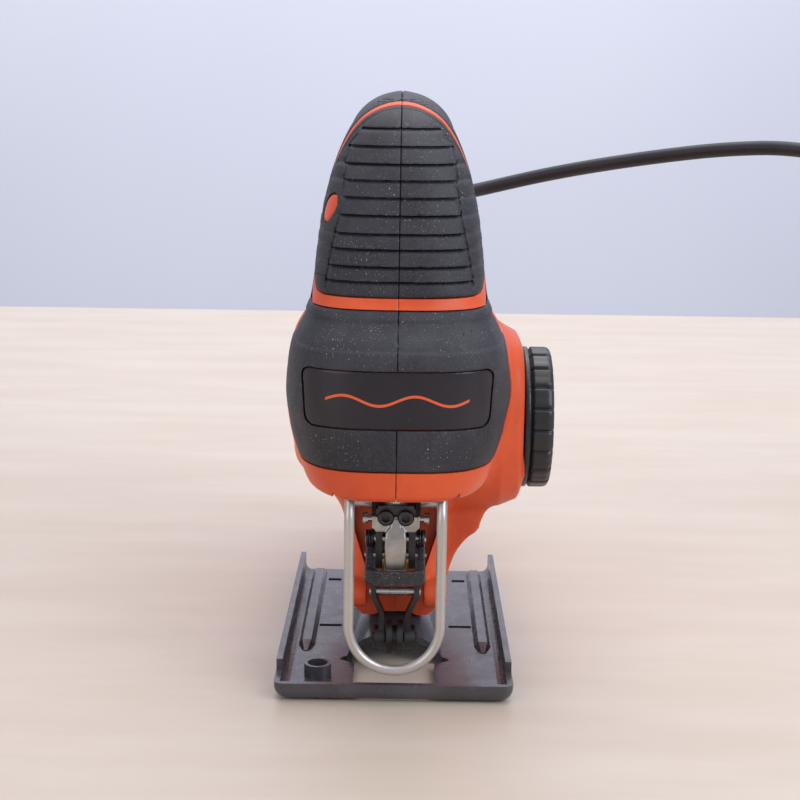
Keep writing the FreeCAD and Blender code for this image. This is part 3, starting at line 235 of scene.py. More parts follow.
def contour(f, lo, hi, step, sharp=0.08):
    """Dual contouring: vertices on the surface and at its edges, and quads."""
    lo = np.array(lo, float)
    n = np.ceil((np.array(hi, float) - lo) / step).astype(int) + 1
    B = 6
    nb = (n + B - 1) // B
    g = np.stack(np.meshgrid(*[np.arange(m) for m in nb], indexing="ij"), -1).reshape(-1, 3)
    centre = lo + (g * B + B / 2.0) * step
    fc = f(centre)
    near = np.abs(fc) < 0.9 * np.sqrt(3) * B * step / 1.15 + 2.2 * step
    F = np.repeat(np.repeat(np.repeat(fc.reshape(nb).astype(np.float32), B, 0), B, 1), B, 2)[:n[0], :n[1], :n[2]].copy()
    act = np.zeros(nb, bool)
    act[tuple(g[near].T)] = True
    grow = act.copy()
    for ax in range(3):
        s = np.roll(act, 1, ax)
        idx = [slice(None)] * 3
        idx[ax] = 0
        s[tuple(idx)] = False
        grow |= s
    act = grow
    mask = np.repeat(np.repeat(np.repeat(act, B, 0), B, 1), B, 2)[:n[0], :n[1], :n[2]]
    ids = np.flatnonzero(mask.ravel())
    vals = np.empty(len(ids), np.float32)
    for s in range(0, len(ids), 400000):
        k = np.array(np.unravel_index(ids[s:s + 400000], tuple(n))).T
        vals[s:s + 400000] = f(lo + k * step)
    F.ravel()[ids] = vals
    F[F == 0] = 1e-6
    P, N, C, Q, flip = [], [], [], [], []
    for ax in range(3):
        a = [slice(None)] * 3
        b = [slice(None)] * 3
        a[ax], b[ax] = slice(0, -1), slice(1, None)
        f0, f1 = F[tuple(a)], F[tuple(b)]
        hit = np.argwhere((f0 < 0) != (f1 < 0))
        if not len(hit):
            continue
        v0, v1 = F[tuple(hit.T)].astype(float), None
        h2 = hit.copy()
        h2[:, ax] += 1
        v1 = F[tuple(h2.T)].astype(float)
        p0, p1 = lo + hit * step, lo + h2 * step
        ta, tb, fa, fb = np.zeros(len(hit)), np.ones(len(hit)), v0, v1
        for it in range(3):
            t = ta + (tb - ta) * (fa / (fa - fb)) if it < 2 else (ta + tb) / 2
            if it == 2:
                t = ta + (tb - ta) * (fa / (fa - fb))
                break
            m = f(p0 + (p1 - p0) * t[:, None])
            same = (m < 0) == (fa < 0)
            ta, fa = np.where(same, t, ta), np.where(same, m, fa)
            tb, fb = np.where(same, tb, t), np.where(same, fb, m)
            bad = np.abs(fa - fb) < 1e-9
            fb = np.where(bad, fb + 1e-6, fb)
        pt = p0 + (p1 - p0) * t[:, None]
        e = 0.12 * step + 0.02
        nn = np.zeros_like(pt)
        for k in ((1, 1, 1), (1, -1, -1), (-1, 1, -1), (-1, -1, 1)):
            kk = np.array(k, float)
            nn += f(pt + e * kk)[:, None] * kk
        nn /= np.linalg.norm(nn, axis=1)[:, None] + 1e-12
        o = [i for i in range(3) if i != ax]
        cells = []
        for da, db in ((-1, -1), (0, -1), (0, 0), (-1, 0)):
            c = hit.copy()
            c[:, o[0]] += da
            c[:, o[1]] += db
            cells.append(c)
        ok = np.all([((c >= 0) & (c < n - 1)).all(1) for c in cells], axis=0)
        cid = np.stack([np.ravel_multi_index(tuple(np.clip(c, 0, n - 1).T), tuple(n)) for c in cells], 1)[ok]
        pt, nn = pt[ok], nn[ok]
        P.append(np.repeat(pt, 4, 0))
        N.append(np.repeat(nn, 4, 0))
        C.append(cid.ravel())
        q = cid
        fl = (v0[ok] < 0)
        if ax == 1:
            fl = ~fl
        Q.append(np.where(fl[:, None], q, q[:, ::-1]))
    P, N, C, Q = np.concatenate(P), np.concatenate(N), np.concatenate(C), np.concatenate(Q)
    cells, inv = np.unique(C, return_inverse=True)
    m = len(cells)
    cnt = np.bincount(inv, minlength=m)
    mean = np.stack([np.bincount(inv, P[:, i], m) for i in range(3)], 1) / cnt[:, None]
    A = np.zeros((m, 3, 3))
    bvec = np.zeros((m, 3))
    nd = (N * (P - mean[inv])).sum(1)
    for i in range(3):
        bvec[:, i] = np.bincount(inv, N[:, i] * nd, m)
        for j in range(i, 3):
            A[:, i, j] = A[:, j, i] = np.bincount(inv, N[:, i] * N[:, j], m)
    A += np.eye(3) * (sharp * cnt[:, None, None])
    x = np.linalg.solve(A, bvec[:, :, None])[:, :, 0] + mean
    base = lo + np.array(np.unravel_index(cells, tuple(n))).T * step
    x = np.clip(x, base - 0.1 * step, base + 1.1 * step)
    faces = np.searchsorted(cells, Q)
    return x, faces


def to_mesh(name, verts, faces, angle=34.0):
    me = bpy.data.meshes.new(name)
    k = faces.shape[1]
    me.vertices.add(len(verts))
    me.vertices.foreach_set("co", (np.asarray(verts, np.float32) * 0.001).ravel())
    me.loops.add(faces.size)
    me.loops.foreach_set("vertex_index", faces.astype(np.int32).ravel())
    me.polygons.add(len(faces))
    me.polygons.foreach_set("loop_start", np.arange(0, faces.size, k, dtype=np.int32))
    me.update(calc_edges=True)
    me.validate()
    me.shade_smooth()
    me.set_sharp_from_angle(angle=math.radians(angle))
    o = bpy.data.objects.new(name, me)
    bpy.context.scene.collection.objects.link(o)
    return o


def drop_bits(verts, faces, least=60):
    """Leave out loose crumbs of a surface."""
    par = np.arange(len(verts))
    for _ in range(200):
        m = par[faces].min(1)
        new = par.copy()
        np.minimum.at(new, faces.ravel(), np.repeat(m, faces.shape[1]))
        new = new[new]
        if (new == par).all():
            break
        par = new
    root, cnt = np.unique(par, return_counts=True)
    small = root[cnt < least]
    keep = ~np.isin(par[faces[:, 0]], small)
    faces = faces[keep]
    used, inv = np.unique(faces, return_inverse=True)
    return verts[used], inv.reshape(faces.shape)


def mesh_field(name, f, lo, hi, step, angle=34.0, sharp=0.08):
    s = step * 1.0
    began = time.time()
    v, q = contour(f, np.array(lo) - 2.1 * s, np.array(hi) + 2.1 * s, s, sharp)
    v, q = drop_bits(v, q)
    o = to_mesh(name, v, q, angle)
    print("%-22s %7d faces %5.1f s" % (name, len(q), time.time() - began))
    return o


# ---------------------------------------------------------------- outer form
HEAD = [(66.4, 27.2, -70.2, 16, 3.2), (69, 29.4, -71.5, 20, 3.2), (76, 31.8, -72.7, 22, 3.2), (86, 34.6, -73, 22, 3.2),
        (96, 35.8, -73, 22, 3.2), (106, 35.2, -72.8, 20, 3.2), (113, 33.8, -71.6, 16, 3.1), (120, 30.4, -66.2, 6, 3),
        (127, 27.9, -61.4, 0, 2.9), (138, 26.6, -58.8, -2, 2.8), (150, 25.1, -56, -2, 2.7), (161, 22.9, -52.2, 0, 2.6),
        (171, 19.7, -47.4, 0, 2.4), (180, 15.1, -40.4, -2, 2.25), (185.6, 9.6, -31.4, -4, 2.1), (188.6, 3.6, -22.5, -9, 2.0)]
BARREL = [(-34, 32, 62, 113, 3.2), (-12, 35.8, 56, 118, 3.4), (15, 37, 53.5, 119, 3.6), (55, 37, 52.5, 119, 3.6),
          (95, 36, 53, 118, 3.4), (125, 34, 54.5, 116, 3.2), (143, 31, 58, 112, 3), (150, 26, 63, 106, 2.8)]
HANDLE = [(-24, 16.5, 146, 187.2, 2.0), (0, 18.2, 150, 189.2, 2.05), (28, 18.8, 152, 188.4, 2.2), (62, 18.6, 150.5, 184.4, 2.5),
          (95, 18.6, 145.5, 179, 2.6), (122, 19, 136, 171.5, 2.6), (140, 18, 128, 162, 2.6), (149, 14, 130, 155, 2.5)]
POST = [(98, 25, 106, 147, 3), (112, 21.5, 110, 147.5, 2.8), (126, 19.4, 111.5, 147.8, 2.6), (140, 18.6, 110, 148, 2.6),
        (156, 17.6, 106, 146, 2.6)]
LEG = [(15, 13.6, -30, 44, 5), (18, 15.2, -32, 46, 5), (22, 16.1, -33.5, 47, 5), (30, 16.7, -35, 48, 4.8),
       (45, 17.4, -36, 48.5, 4.5), (52, 19.4, -37, 49, 4.2), (57, 22.6, -38, 50, 4), (62, 27.2, -39, 50, 3.9), (68, 33, -41, 52, 3.8)]
BOSS = np.array([(14, -38, 30, 50, 113, 3.4), (20, -38, 30, 50, 113, 3.4), (34, -36.5, 27, 52, 112, 3.4),
                 (40, -33.5, 23, 54, 109, 3.2), (42.6, -30.5, 19, 57, 105.5, 3)])


def scallop(a, b, c, n=9):
    """Points of a hollow curve from a to c, pulled towards b."""
    t = np.linspace(0, 1, n)[:, None]
    return [tuple(q) for q in (1 - t) ** 2 * np.array(a) + 2 * t * (1 - t) * np.array(b) + t * t * np.array(c)]


WING = [(4, 72), (42.0, 72), (42.0, 64.5)] + scallop((40.5, 62.6), (29.8, 56.6), (27.6, 46.4)) + scallop((26.6, 45.0), (19.6, 40.8), (17.4, 30)) + [(4, 30)]

head_f = Loft(HEAD, 2, 0, 1, 2.2)
barrel_f = Loft(BARREL, 1, 0, 2, 3.0)
handle_f = Loft(HANDLE, 1, 0, 2, 4.0)
post_f = Loft(POST, 2, 0, 1, 1.0)
leg_f = Loft(LEG, 2, 0, 1, 1.0)


def ears_f(p):
    """Rolled front corners of the foot, each side of the roller bracket."""
    out = np.full(len(p), 20.0)
    m = (np.abs(p[:, 0]) < 24) & (p[:, 1] > -46) & (p[:, 1] < -18) & (p[:, 2] > 10) & (p[:, 2] < 40)
    q = p[m].copy()
    q[:, 0] = np.abs(q[:, 0])
    out[m] = f_cyl(q, 0, (-33.2, 26.0), 5.0, 9.3, 16.9, 0.9)
    return out


def boss_f(p):
    out = np.full(len(p), 20.0)
    m = (p[:, 0] > 2) & (p[:, 1] > -50) & (p[:, 1] < 42) & (p[:, 2] > 38) & (p[:, 2] < 125)
    q = p[m]
    u = np.clip(q[:, 0], 14, 42.6)
    y0, y1, z0, z1, n = [np.interp(u, BOSS[:, 0], BOSS[:, i]) for i in range(1, 6)]
    a = np.maximum(np.abs(q[:, 1] - (y0 + y1) / 2) / ((y1 - y0) / 2), 1e-5)
    b = np.maximum(np.abs(q[:, 2] - (z0 + z1) / 2) / ((z1 - z0) / 2), 1e-5)
    r = (a ** n + b ** n) ** (1 / n)
    g = r ** (1 - n) * np.sqrt((a ** (n - 1) / ((y1 - y0) / 2)) ** 2 + (b ** (n - 1) / ((z1 - z0) / 2)) ** 2)
    d = smax((r - 1) / g, q[:, 0] - 41.4, 1.8)
    out[m] = np.maximum(d, 14 - q[:, 0])
    return out


def wing_f(p):
    out = np.full(len(p), 20.0)
    m = (p[:, 0] > -4) & (p[:, 0] < 52) & (p[:, 1] > -37) & (p[:, 1] < 26) & (p[:, 2] > 20) & (p[:, 2] < 80)
    out[m] = f_prism(p[m], 0, 2, WING, 1, -27, 16, 1.2)
    return out


def outer(p):
    d = smin(head_f(p), barrel_f(p), 7.0)
    d = smin(d, smin(handle_f(p), post_f(p), 11.0), np.interp(p[:, 2], [150, 172], [9.0, 3.0]))
    d = smin(d, leg_f(p), 5.0)
    d = smin(d, ears_f(p), 1.2)
    d = smin(d, boss_f(p), 3.0)
    return smin(d, wing_f(p), 2.5)


# outlines of the rubber, side view (y, z)
LOOP = [(-31.9, 196), (-32.3, 187), (-32.4, 178), (-31.9, 168), (-30.0, 158), (-29.5, 148), (-33.0, 138), (-39.8, 131.8),
        (-46, 128.6), (-52, 127.8), (-92, 127.6), (-92, 196)]
NOSE = [(-92, 76.3), (-54, 76.3), (-46, 78.2), (-39.6, 83), (-35.8, 92), (-33.4, 104), (-27.5, 112.5), (-17, 118.5), (-5, 122.2),
        (4, 124.4), (-92, 124.4)]
GRIP = [(-29.5, 196), (-29.9, 187), (-30.1, 178), (-29.9, 168), (-28.1, 158), (-27.5, 148), (-31.0, 137.0), (-37.4, 130.2),
        (-43.0, 126.0), (-46.5, 124.7), (-10, 124.7), (-5, 131), (-2, 141), (6, 153), (20, 161.5), (45, 163.5), (70, 162),
        (100, 158), (118, 153.5), (131.4, 150), (134, 156), (133, 162), (133, 196)]
PLATE = (-28.7, 28.7, 89.6, 107.4)


def in_loop(p):
    return f_poly(p, 1, 2, LOOP)


def in_nose(p):
    return f_poly(p, 1, 2, NOSE)


def in_grip(p):
    return f_poly(p, 1, 2, GRIP)


def in_plate(p, grow=0.0):
    hw, hh = (PLATE[1] - PLATE[0]) / 2 - 3.0, (PLATE[3] - PLATE[2]) / 2 - 3.0
    # the plate is a little narrower at its foot
    zc = p[:, 2] - (PLATE[2] + PLATE[3]) / 2
    q = np.stack([np.abs(p[:, 0]) - hw - 0.07 * zc, np.abs(zc) - hh], 1)
    d = np.linalg.norm(np.maximum(q, 0), axis=1) + np.minimum(q.max(1), 0) - 3.0 - grow
    return np.maximum(d, p[:, 1] + 58)


BUTTON = (-43.4, 153.5)
SCREWS = [(-64.0, 94.0, -16, 13, 1.7), (-34.0, 164.0, -13, 12, 1.7), (128.0, 156.0, -12, 12, 1.7),
          (104.0, 60.0, -18, 14, 1.7), (104.0, 111.0, -18, 14, 1.7), (22.0, 40.0, -12, 12, 1.7), (80.0, 167.0, -12, 12, 1.7)]
CHANNEL = [(-9.6, 8), (9.6, 8), (9.6, 34), (13.4, 46), (15.0, 60), (15.0, 82), (-15.0, 82), (-15.0, 60), (-13.4, 46), (-9.6, 34)]


def button_hole(p, grow):
    return np.maximum(np.hypot((p[:, 1] - BUTTON[0]) / 0.86, p[:, 2] - BUTTON[1]) - 4.5 - grow, p[:, 0] + 10)


def openings(p):
    """Everything that is cut out of the moulded shells."""
    d = f_prism(p, 0, 2, CHANNEL, 1, -58.5, -29.0, 0.5)
    d = np.minimum(d, f_box(p, (-19.4, -67.4, 58), (19.4, -46.0, 71), 0.8))
    d = np.minimum(d, f_box(p, (-9.2, -60, 5), (9.2, -25.0, 17.7), 0.8))
    d = np.minimum(d, f_box(p, (-24, -60, 5), (24, -25.0, 16.8), 0.8))
    d = np.minimum(d, f_box(p, (9.2, -60, 5), (24, -25.0, 20.9), 0.5))
    d = np.minimum(d, f_box(p, (-24, -60, 5), (-9.2, -25.0, 20.9), 0.5))
    d = np.minimum(d, f_cyl(p, 1, (0, 0), 16.65, -60, 80))
    # bevelled sides of the foot, so that the shoe can tilt
    d = np.minimum(d, (p[:, 2] - np.abs(p[:, 0]) - 4.1) * 0.707)
    d = np.minimum(d, f_box(p, (-8.4, 5.6, 143), (8.4, 38.4, 160), 0.4))
    d = np.minimum(d, f_cyl(p, 1, (0, 142.5), 7.6, 141, 160))
    d = np.minimum(d, f_cyl(p, 0, (-6, 80.5), 4.05, 20, 60))
    d = np.minimum(d, np.maximum(button_hole(p, 0.3), -40 - p[:, 0]))
    for y, z, x0, x1, r in SCREWS:
        near = (np.abs(p[:, 1] - y) < 12) & (np.abs(p[:, 2] - z) < 12)
        if near.any():
            q = p[near]
            d[near] = np.minimum(d[near], np.minimum(f_cyl(q, 0, (y, z), 3.7, -60, x0), f_cyl(q, 0, (y, z), r + 0.05, x0 - 1, x1)))
    near = (p[:, 1] > 88) & (p[:, 1] < 130) & (p[:, 2] > 60) & (p[:, 2] < 110)
    if near.any():
        q = p[near]
        v = d[near]
        for k in range(6):
            v = np.minimum(v, f_box(q, (26, 98 + 1.2 * k, 70 + 5.6 * k), (60, 121, 72.4 + 5.6 * k), 1.0))
            v = np.minimum(v, f_box(q, (-60, 98 + 1.2 * k, 70 + 5.6 * k), (-26, 121, 72.4 + 5.6 * k), 1.0))
        d[near] = v
    return d


def shell_half(side):
    def f(p):
        F = outer(p)
        d = F
        # hollow inside: a wall 2.8 mm thick above z 66, with the screw posts left standing
        cav = smax(F + 2.8, 66.0 - p[:, 2], 1.0)
        posts = np.full(len(p), 9.0)
        for y, z, x0, x1, r in SCREWS:
            posts = np.minimum(posts, np.hypot(p[:, 1] - y, p[:, 2] - z) - r - 2.6)
        cav = np.maximum(cav, -posts)
        d = np.maximum(d, -cav)
        loop = in_loop(p)
        pads = np.minimum(np.minimum(loop - 3.9, in_grip(p)), in_nose(p))
        d = np.maximum(d, -np.maximum(pads, -(F + 2.0)))
        d = np.maximum(d, -openings(p))
        gap = np.where(F > -0.9, 0.12, 0.0)
        return smax(d, gap - side * p[:, 0], 0.12)
    return f


RIBS = np.array([183.4, 178.1, 172.9, 167.6, 162.8, 157.7, 152.4, 147.0, 142.4, 137.2, 132.8, 126.0])
RIB_X = ([128, 131, 141, 151.5, 162, 167.9, 172.7, 178.2, 182, 186], [22.9, 22.6, 20.9, 18.6, 17.2, 17.0, 16.0, 11.8, 7.5, 1.0])


def rib_height(p):
    """Shingled bars across the thumb pad: each leans out towards its lower edge, with a step under it."""
    z, ax = p[:, 2], np.abs(p[:, 0])
    k = np.clip(np.searchsorted(-RIBS, -z, side="right") - 1, 0, len(RIBS) - 2)
    top, low = RIBS[k], RIBS[k + 1]
    t = np.clip((top - z) / (top - low), 0, 1)
    span = top - low
    bar = 0.05 + 0.55 * t ** 0.8
    bar = np.where(z < RIBS[-2], 0.12, bar)
    bar -= 1.2 * np.exp(-((t * span) / 0.72) ** 2)
    bar = np.where((z > RIBS[1]) | (z < RIBS[-1]), 0.3, bar)
    xb = np.interp(z, *RIB_X)
    outer_bar = 0.15 - 0.62 * np.exp(-((np.minimum(t, 1 - t) * span) / 0.9) ** 2)
    outer_bar = np.where((z > 169) | (z < RIBS[-2] + 0.5), 0.1, outer_bar)
    w = np.clip((ax - xb) / 0.5 + 0.5, 0, 1)
    h = bar * (1 - w) + outer_bar * w
    h -= 0.60 * np.exp(-((ax - xb) / 0.45) ** 2) * ((z < 176) & (z > 129.8))
    s = -in_loop(p)
    h = np.where(ax > xb, np.minimum(h, 0.1) * np.clip((s - 1.6) / 1.8, 0, 1), h)
    near = np.hypot((p[:, 1] - BUTTON[0]) / 0.86, z - BUTTON[1]) - 4.5
    h = np.where(p[:, 0] < -8, h * np.clip((near - 1.0) / 1.4, 0, 1), h)
    rim = 0.45 * np.exp(-((s - 2.7) / 0.5) ** 2) * np.clip((z - 166) / 6, 0, 1)
    edge = np.clip(s / 1.8 - 0.35, 0, 1)
    return h * edge - rim


def step_up(x):
    x = np.clip(x, 0, 1)
    return x * x * (3 - 2 * x)


def nose_relief(p):
    """A shallow scoop round the shoulders, between two soft creases."""
    z = p[:, 2]
    return -0.55 * step_up((z - 112.2) / 1.3) * (1 - step_up((z - 120.6) / 1.4))


def pad(region, side, ribs=None, hole=None, gap=0.12):
    def f(p):
        F = outer(p)
        top = F - (ribs(p) if ribs else 0.0)
        d = smax(top, region(p) + gap, 1.3)
        d = np.maximum(d, -(F + 1.95))
        if hole is not None:
            d = smax(d, -hole(p), 0.4)
        return smax(d, np.where(F > -0.9, 0.10, 0.0) - side * p[:, 0], 0.5)
    return f


def name_plate_f(p):
    F = outer(p)
    return np.maximum(smax(F + 0.35, in_plate(p, -0.25), 0.3), -(F + 1.9))



def stripe_f(side):
    """The raised line of the orange shell that shows round the thumb pad."""
    def f(p):
        F = outer(p)
        s = in_loop(p)
        d = smax(F + 0.15, 0.05 - s, 0.3)
        d = smax(d, np.maximum(s - 4.0, np.maximum(0.05 - in_grip(p), 0.05 - in_nose(p))), 0.3)
        d = np.maximum(d, -(F + 1.9))
        return smax(d, 0.10 - side * p[:, 0], 0.2)
    return f



# ---------------------------------------------------------------- materials
class Mat:
    def __init__(self, name, rough=0.5, metallic=0.0, coat=0.0, coat_rough=0.1, ior=1.46, sheen=0.0):
        self.m = bpy.data.materials.new(name)
        self.m.use_nodes = True
        self.t = self.m.node_tree
        self.b = self.t.nodes["Principled BSDF"]
        self.b.inputs["Roughness"].default_value = rough
        self.b.inputs["Metallic"].default_value = metallic
        self.b.inputs["IOR"].default_value = ior
        self.b.inputs["Coat Weight"].default_value = coat
        self.b.inputs["Coat Roughness"].default_value = coat_rough
        self.b.inputs["Sheen Weight"].default_value = sheen
        self.co = self.t.nodes.new("ShaderNodeTexCoord").outputs["Object"]
        self.h = None

    def node(self, kind, **kw):
        n = self.t.nodes.new(kind)
        for k, v in kw.items():
            setattr(n, k, v)
        return n

    def link(self, a, b):
        self.t.links.new(a, b)

    def noise(self, scale, detail=4.0, rough=0.55, stretch=None):
        n = self.node("ShaderNodeTexNoise")
        n.inputs["Scale"].default_value = scale
        n.inputs["Detail"].default_value = detail
        n.inputs["Roughness"].default_value = rough
        src = self.co
        if stretch:
            mp = self.node("ShaderNodeMapping")
            mp.inputs["Scale"].default_value = stretch
            self.link(self.co, mp.inputs["Vector"])
            src = mp.outputs["Vector"]
        self.link(src, n.inputs["Vector"])
        return n.outputs["Fac"]

    def ramp(self, fac, stops):
        n = self.node("ShaderNodeValToRGB")
        e = n.color_ramp.elements
        while len(e) < len(stops):
            e.new(0.5)
        for el, (pos, col) in zip(e, stops):
            el.position = pos
            el.color = (col, col, col, 1) if not isinstance(col, tuple) else (*col, 1)
        self.link(fac, n.inputs["Fac"])
        return n.outputs["Color"]

    def specks(self, scale, size, share):
        """Small grains: cells whose centre is near, and only some of them."""
        v = self.node("ShaderNodeTexVoronoi")
        v.inputs["Scale"].default_value = scale
        v.inputs["Randomness"].default_value = 1.0
        self.link(self.co, v.inputs["Vector"])
        near = self.math("LESS_THAN", v.outputs["Distance"], size)
        sep = self.node("ShaderNodeSeparateColor")
        self.link(v.outputs["Color"], sep.inputs["Color"])
        some = self.math("GREATER_THAN", sep.outputs["Red"], 1.0 - share)
        return self.math("MULTIPLY", near, some)

    def math(self, op, a, b=0.0, clamp=False):
        n = self.node("ShaderNodeMath", operation=op, use_clamp=clamp)
        for i, v in enumerate((a, b)):
            if isinstance(v, (int, float)):
                n.inputs[i].default_value = v
            else:
                self.link(v, n.inputs[i])
        return n.outputs[0]

    def mix(self, fac, a, b):
        n = self.node("ShaderNodeMix", data_type="RGBA")
        for sock, v in ((n.inputs[0], fac), (n.inputs[6], a), (n.inputs[7], b)):
            if isinstance(v, tuple):
                sock.default_value = (*v, 1)
            elif isinstance(v, (int, float)):
                sock.default_value = v
            else:
                self.link(v, sock)
        return n.outputs[2]

    def bump(self, fac, strength, dist=0.0004):
        n = self.node("ShaderNodeBump")
        n.inputs["Strength"].default_value = strength
        n.inputs["Distance"].default_value = dist
        self.link(fac, n.inputs["Height"])
        if self.h is not None:
            self.link(self.h, n.inputs["Normal"])
        self.h = n.outputs["Normal"]
        self.link(self.h, self.b.inputs["Normal"])

    def colour(self, v):
        if isinstance(v, tuple):
            self.b.inputs["Base Color"].default_value = (*v, 1)
        else:
            self.link(v, self.b.inputs["Base Color"])

    def roughness(self, fac, lo, hi):
        n = self.node("ShaderNodeMapRange")
        n.inputs["To Min"].default_value, n.inputs["To Max"].default_value = lo, hi
        self.link(fac, n.inputs["Value"])
        self.link(n.outputs["Result"], self.b.inputs["Roughness"])

    def pointy(self):
        g = self.node("ShaderNodeNewGeometry")
        return g.outputs["Pointiness"]


def plastic(name, base, rough, grain=2600, strength=0.12, vary=0.06, dust=0.0, coat=0.0, worn=0.0, light=None):
    m = Mat(name, rough=rough, coat=coat, coat_rough=0.25)
    dark = tuple(c * (1 - vary * 2.2) for c in base)
    lite = light or tuple(min(1, c * (1 + vary * 1.6)) for c in base)
    big = m.noise(38, 5)
    col = m.mix(m.ramp(big, [(0.35, 0.0), (0.65, 1.0)]), dark, lite)
    fine = m.noise(grain, 3)
    col = m.mix(m.math("MULTIPLY", m.ramp(fine, [(0.42, 0.0), (0.66, 1.0)]), vary * 2.5), col, tuple(min(1, c * 1.8 + 0.01) for c in base))
    if dust:
        s = m.math("ADD", m.specks(620, 0.13, dust), m.specks(1500, 0.17, dust * 1.6), clamp=True)
        patch = m.ramp(m.noise(55, 3), [(0.40, 0.10), (0.62, 1.0)])
        s = m.math("MULTIPLY", s, patch)
        col = m.mix(s, col, (0.42, 0.38, 0.33))
        film = m.math("MULTIPLY", m.ramp(m.noise(120, 6, 0.7), [(0.45, 0.0), (0.75, 1.0)]), 0.10)
        col = m.mix(film, col, (0.20, 0.19, 0.19))
        m.bump(s, 0.5, 0.0002)
    if worn:
        e = m.math("MULTIPLY", m.ramp(m.pointy(), [(0.52, 0.0), (0.60, 1.0)]), m.ramp(m.noise(420, 5), [(0.40, 0.0), (0.60, worn)]))
        col = m.mix(e, col, (0.30, 0.29, 0.29))
    m.colour(col)
    m.bump(fine, strength, 0.00025)
    m.roughness(m.noise(90, 4), max(rough - 0.09, 0.05), min(rough + 0.10, 1))
    return m.m


def metal(name, base, rough, brushed=None, stain=(0.5, 0.5, 0.5), amount=0.25, metallic=1.0, strength=0.06, spots=0.0):
    m = Mat(name, rough=rough, metallic=metallic)
    cloud = m.ramp(m.noise(160, 6, 0.65), [(0.38, 0.0), (0.68, amount)])
    col = m.mix(cloud, base, tuple(b * s for b, s in zip(base, stain)))
    if spots:
        s = m.math("MULTIPLY", m.specks(900, 0.22, spots), m.ramp(m.noise(240, 3), [(0.5, 0.0), (0.6, 1.0)]))
        col = m.mix(s, col, (0.10, 0.07, 0.05))
    m.colour(col)
    g = m.noise(900, 4, 0.6, brushed)
    m.bump(g, strength, 0.0001)
    m.roughness(m.noise(500, 5, 0.6, brushed), max(rough - 0.08, 0.03), rough + 0.14)
    return m.m


def enamel():
    """Black enamelled sheet: glossy, a little orange peel, worn and dusty in patches."""
    m = Mat("shoe_enamel", rough=0.28, coat=0.35, coat_rough=0.12, ior=1.5)
    col = m.mix(m.ramp(m.noise(60, 5), [(0.35, 0.0), (0.7, 1.0)]), (0.044, 0.041, 0.050), (0.074, 0.069, 0.082))
    dust = m.math("MULTIPLY", m.specks(900, 0.12, 0.10), m.ramp(m.noise(70, 3), [(0.45, 0.05), (0.65, 1.0)]))
    col = m.mix(dust, col, (0.45, 0.40, 0.34))
    scr = m.math("MULTIPLY", m.ramp(m.noise(260, 8, 0.75, (1.0, 0.08, 1.0)), [(0.60, 0.0), (0.72, 1.0)]), 0.30)
    col = m.mix(scr, col, (0.16, 0.15, 0.16))
    m.colour(col)
    m.bump(m.noise(300, 2), 0.05, 0.0003)
    m.bump(m.noise(1500, 3), 0.04, 0.0001)
    m.roughness(m.ramp(m.noise(130, 6, 0.7), [(0.4, 0.0), (0.75, 1.0)]), 0.24, 0.48)
    return m.m


def laminated(name, base, pitch, axis):
    m = Mat(name, rough=0.45, metallic=0.9)
    w = m.node("ShaderNodeTexWave", wave_type="BANDS", bands_direction=axis)
    w.inputs["Scale"].default_value = 1.0 / pitch
    w.inputs["Distortion"].default_value = 0.3
    m.link(m.co, w.inputs["Vector"])
    m.colour(m.mix(w.outputs["Fac"], tuple(c * 0.5 for c in base), base))
    m.bump(w.outputs["Fac"], 0.4, 0.0002)
    return m.m


def plate_mat():
    """Glossy dark label with a plain wavy line."""
    m = Mat("plate_gloss", rough=0.30, coat=0.10, coat_rough=0.12)
    sep = m.node("ShaderNodeSeparateXYZ")
    m.link(m.co, sep.inputs["Vector"])
    x, z = sep.outputs["X"], sep.outputs["Z"]
    wave = m.math("MULTIPLY", m.math("SINE", m.math("MULTIPLY", x, 290.0)), 0.0015)
    line = m.math("ABSOLUTE", m.math("SUBTRACT", m.math("SUBTRACT", z, 0.0985), wave))
    on = m.math("MULTIPLY", m.math("LESS_THAN", line, 0.00042), m.math("LESS_THAN", m.math("ABSOLUTE", x), 0.0217))
    base = m.mix(m.ramp(m.noise(50, 4), [(0.35, 0.0), (0.7, 1.0)]), (0.012, 0.009, 0.015), (0.018, 0.014, 0.021))
    dust = m.specks(1100, 0.10, 0.05)
    base = m.mix(dust, base, (0.30, 0.27, 0.24))
    m.colour(m.mix(on, base, (0.78, 0.115, 0.035)))
    m.bump(m.noise(1600, 3), 0.05, 0.0001)
    m.roughness(m.noise(200, 5), 0.24, 0.40)
    return m.m


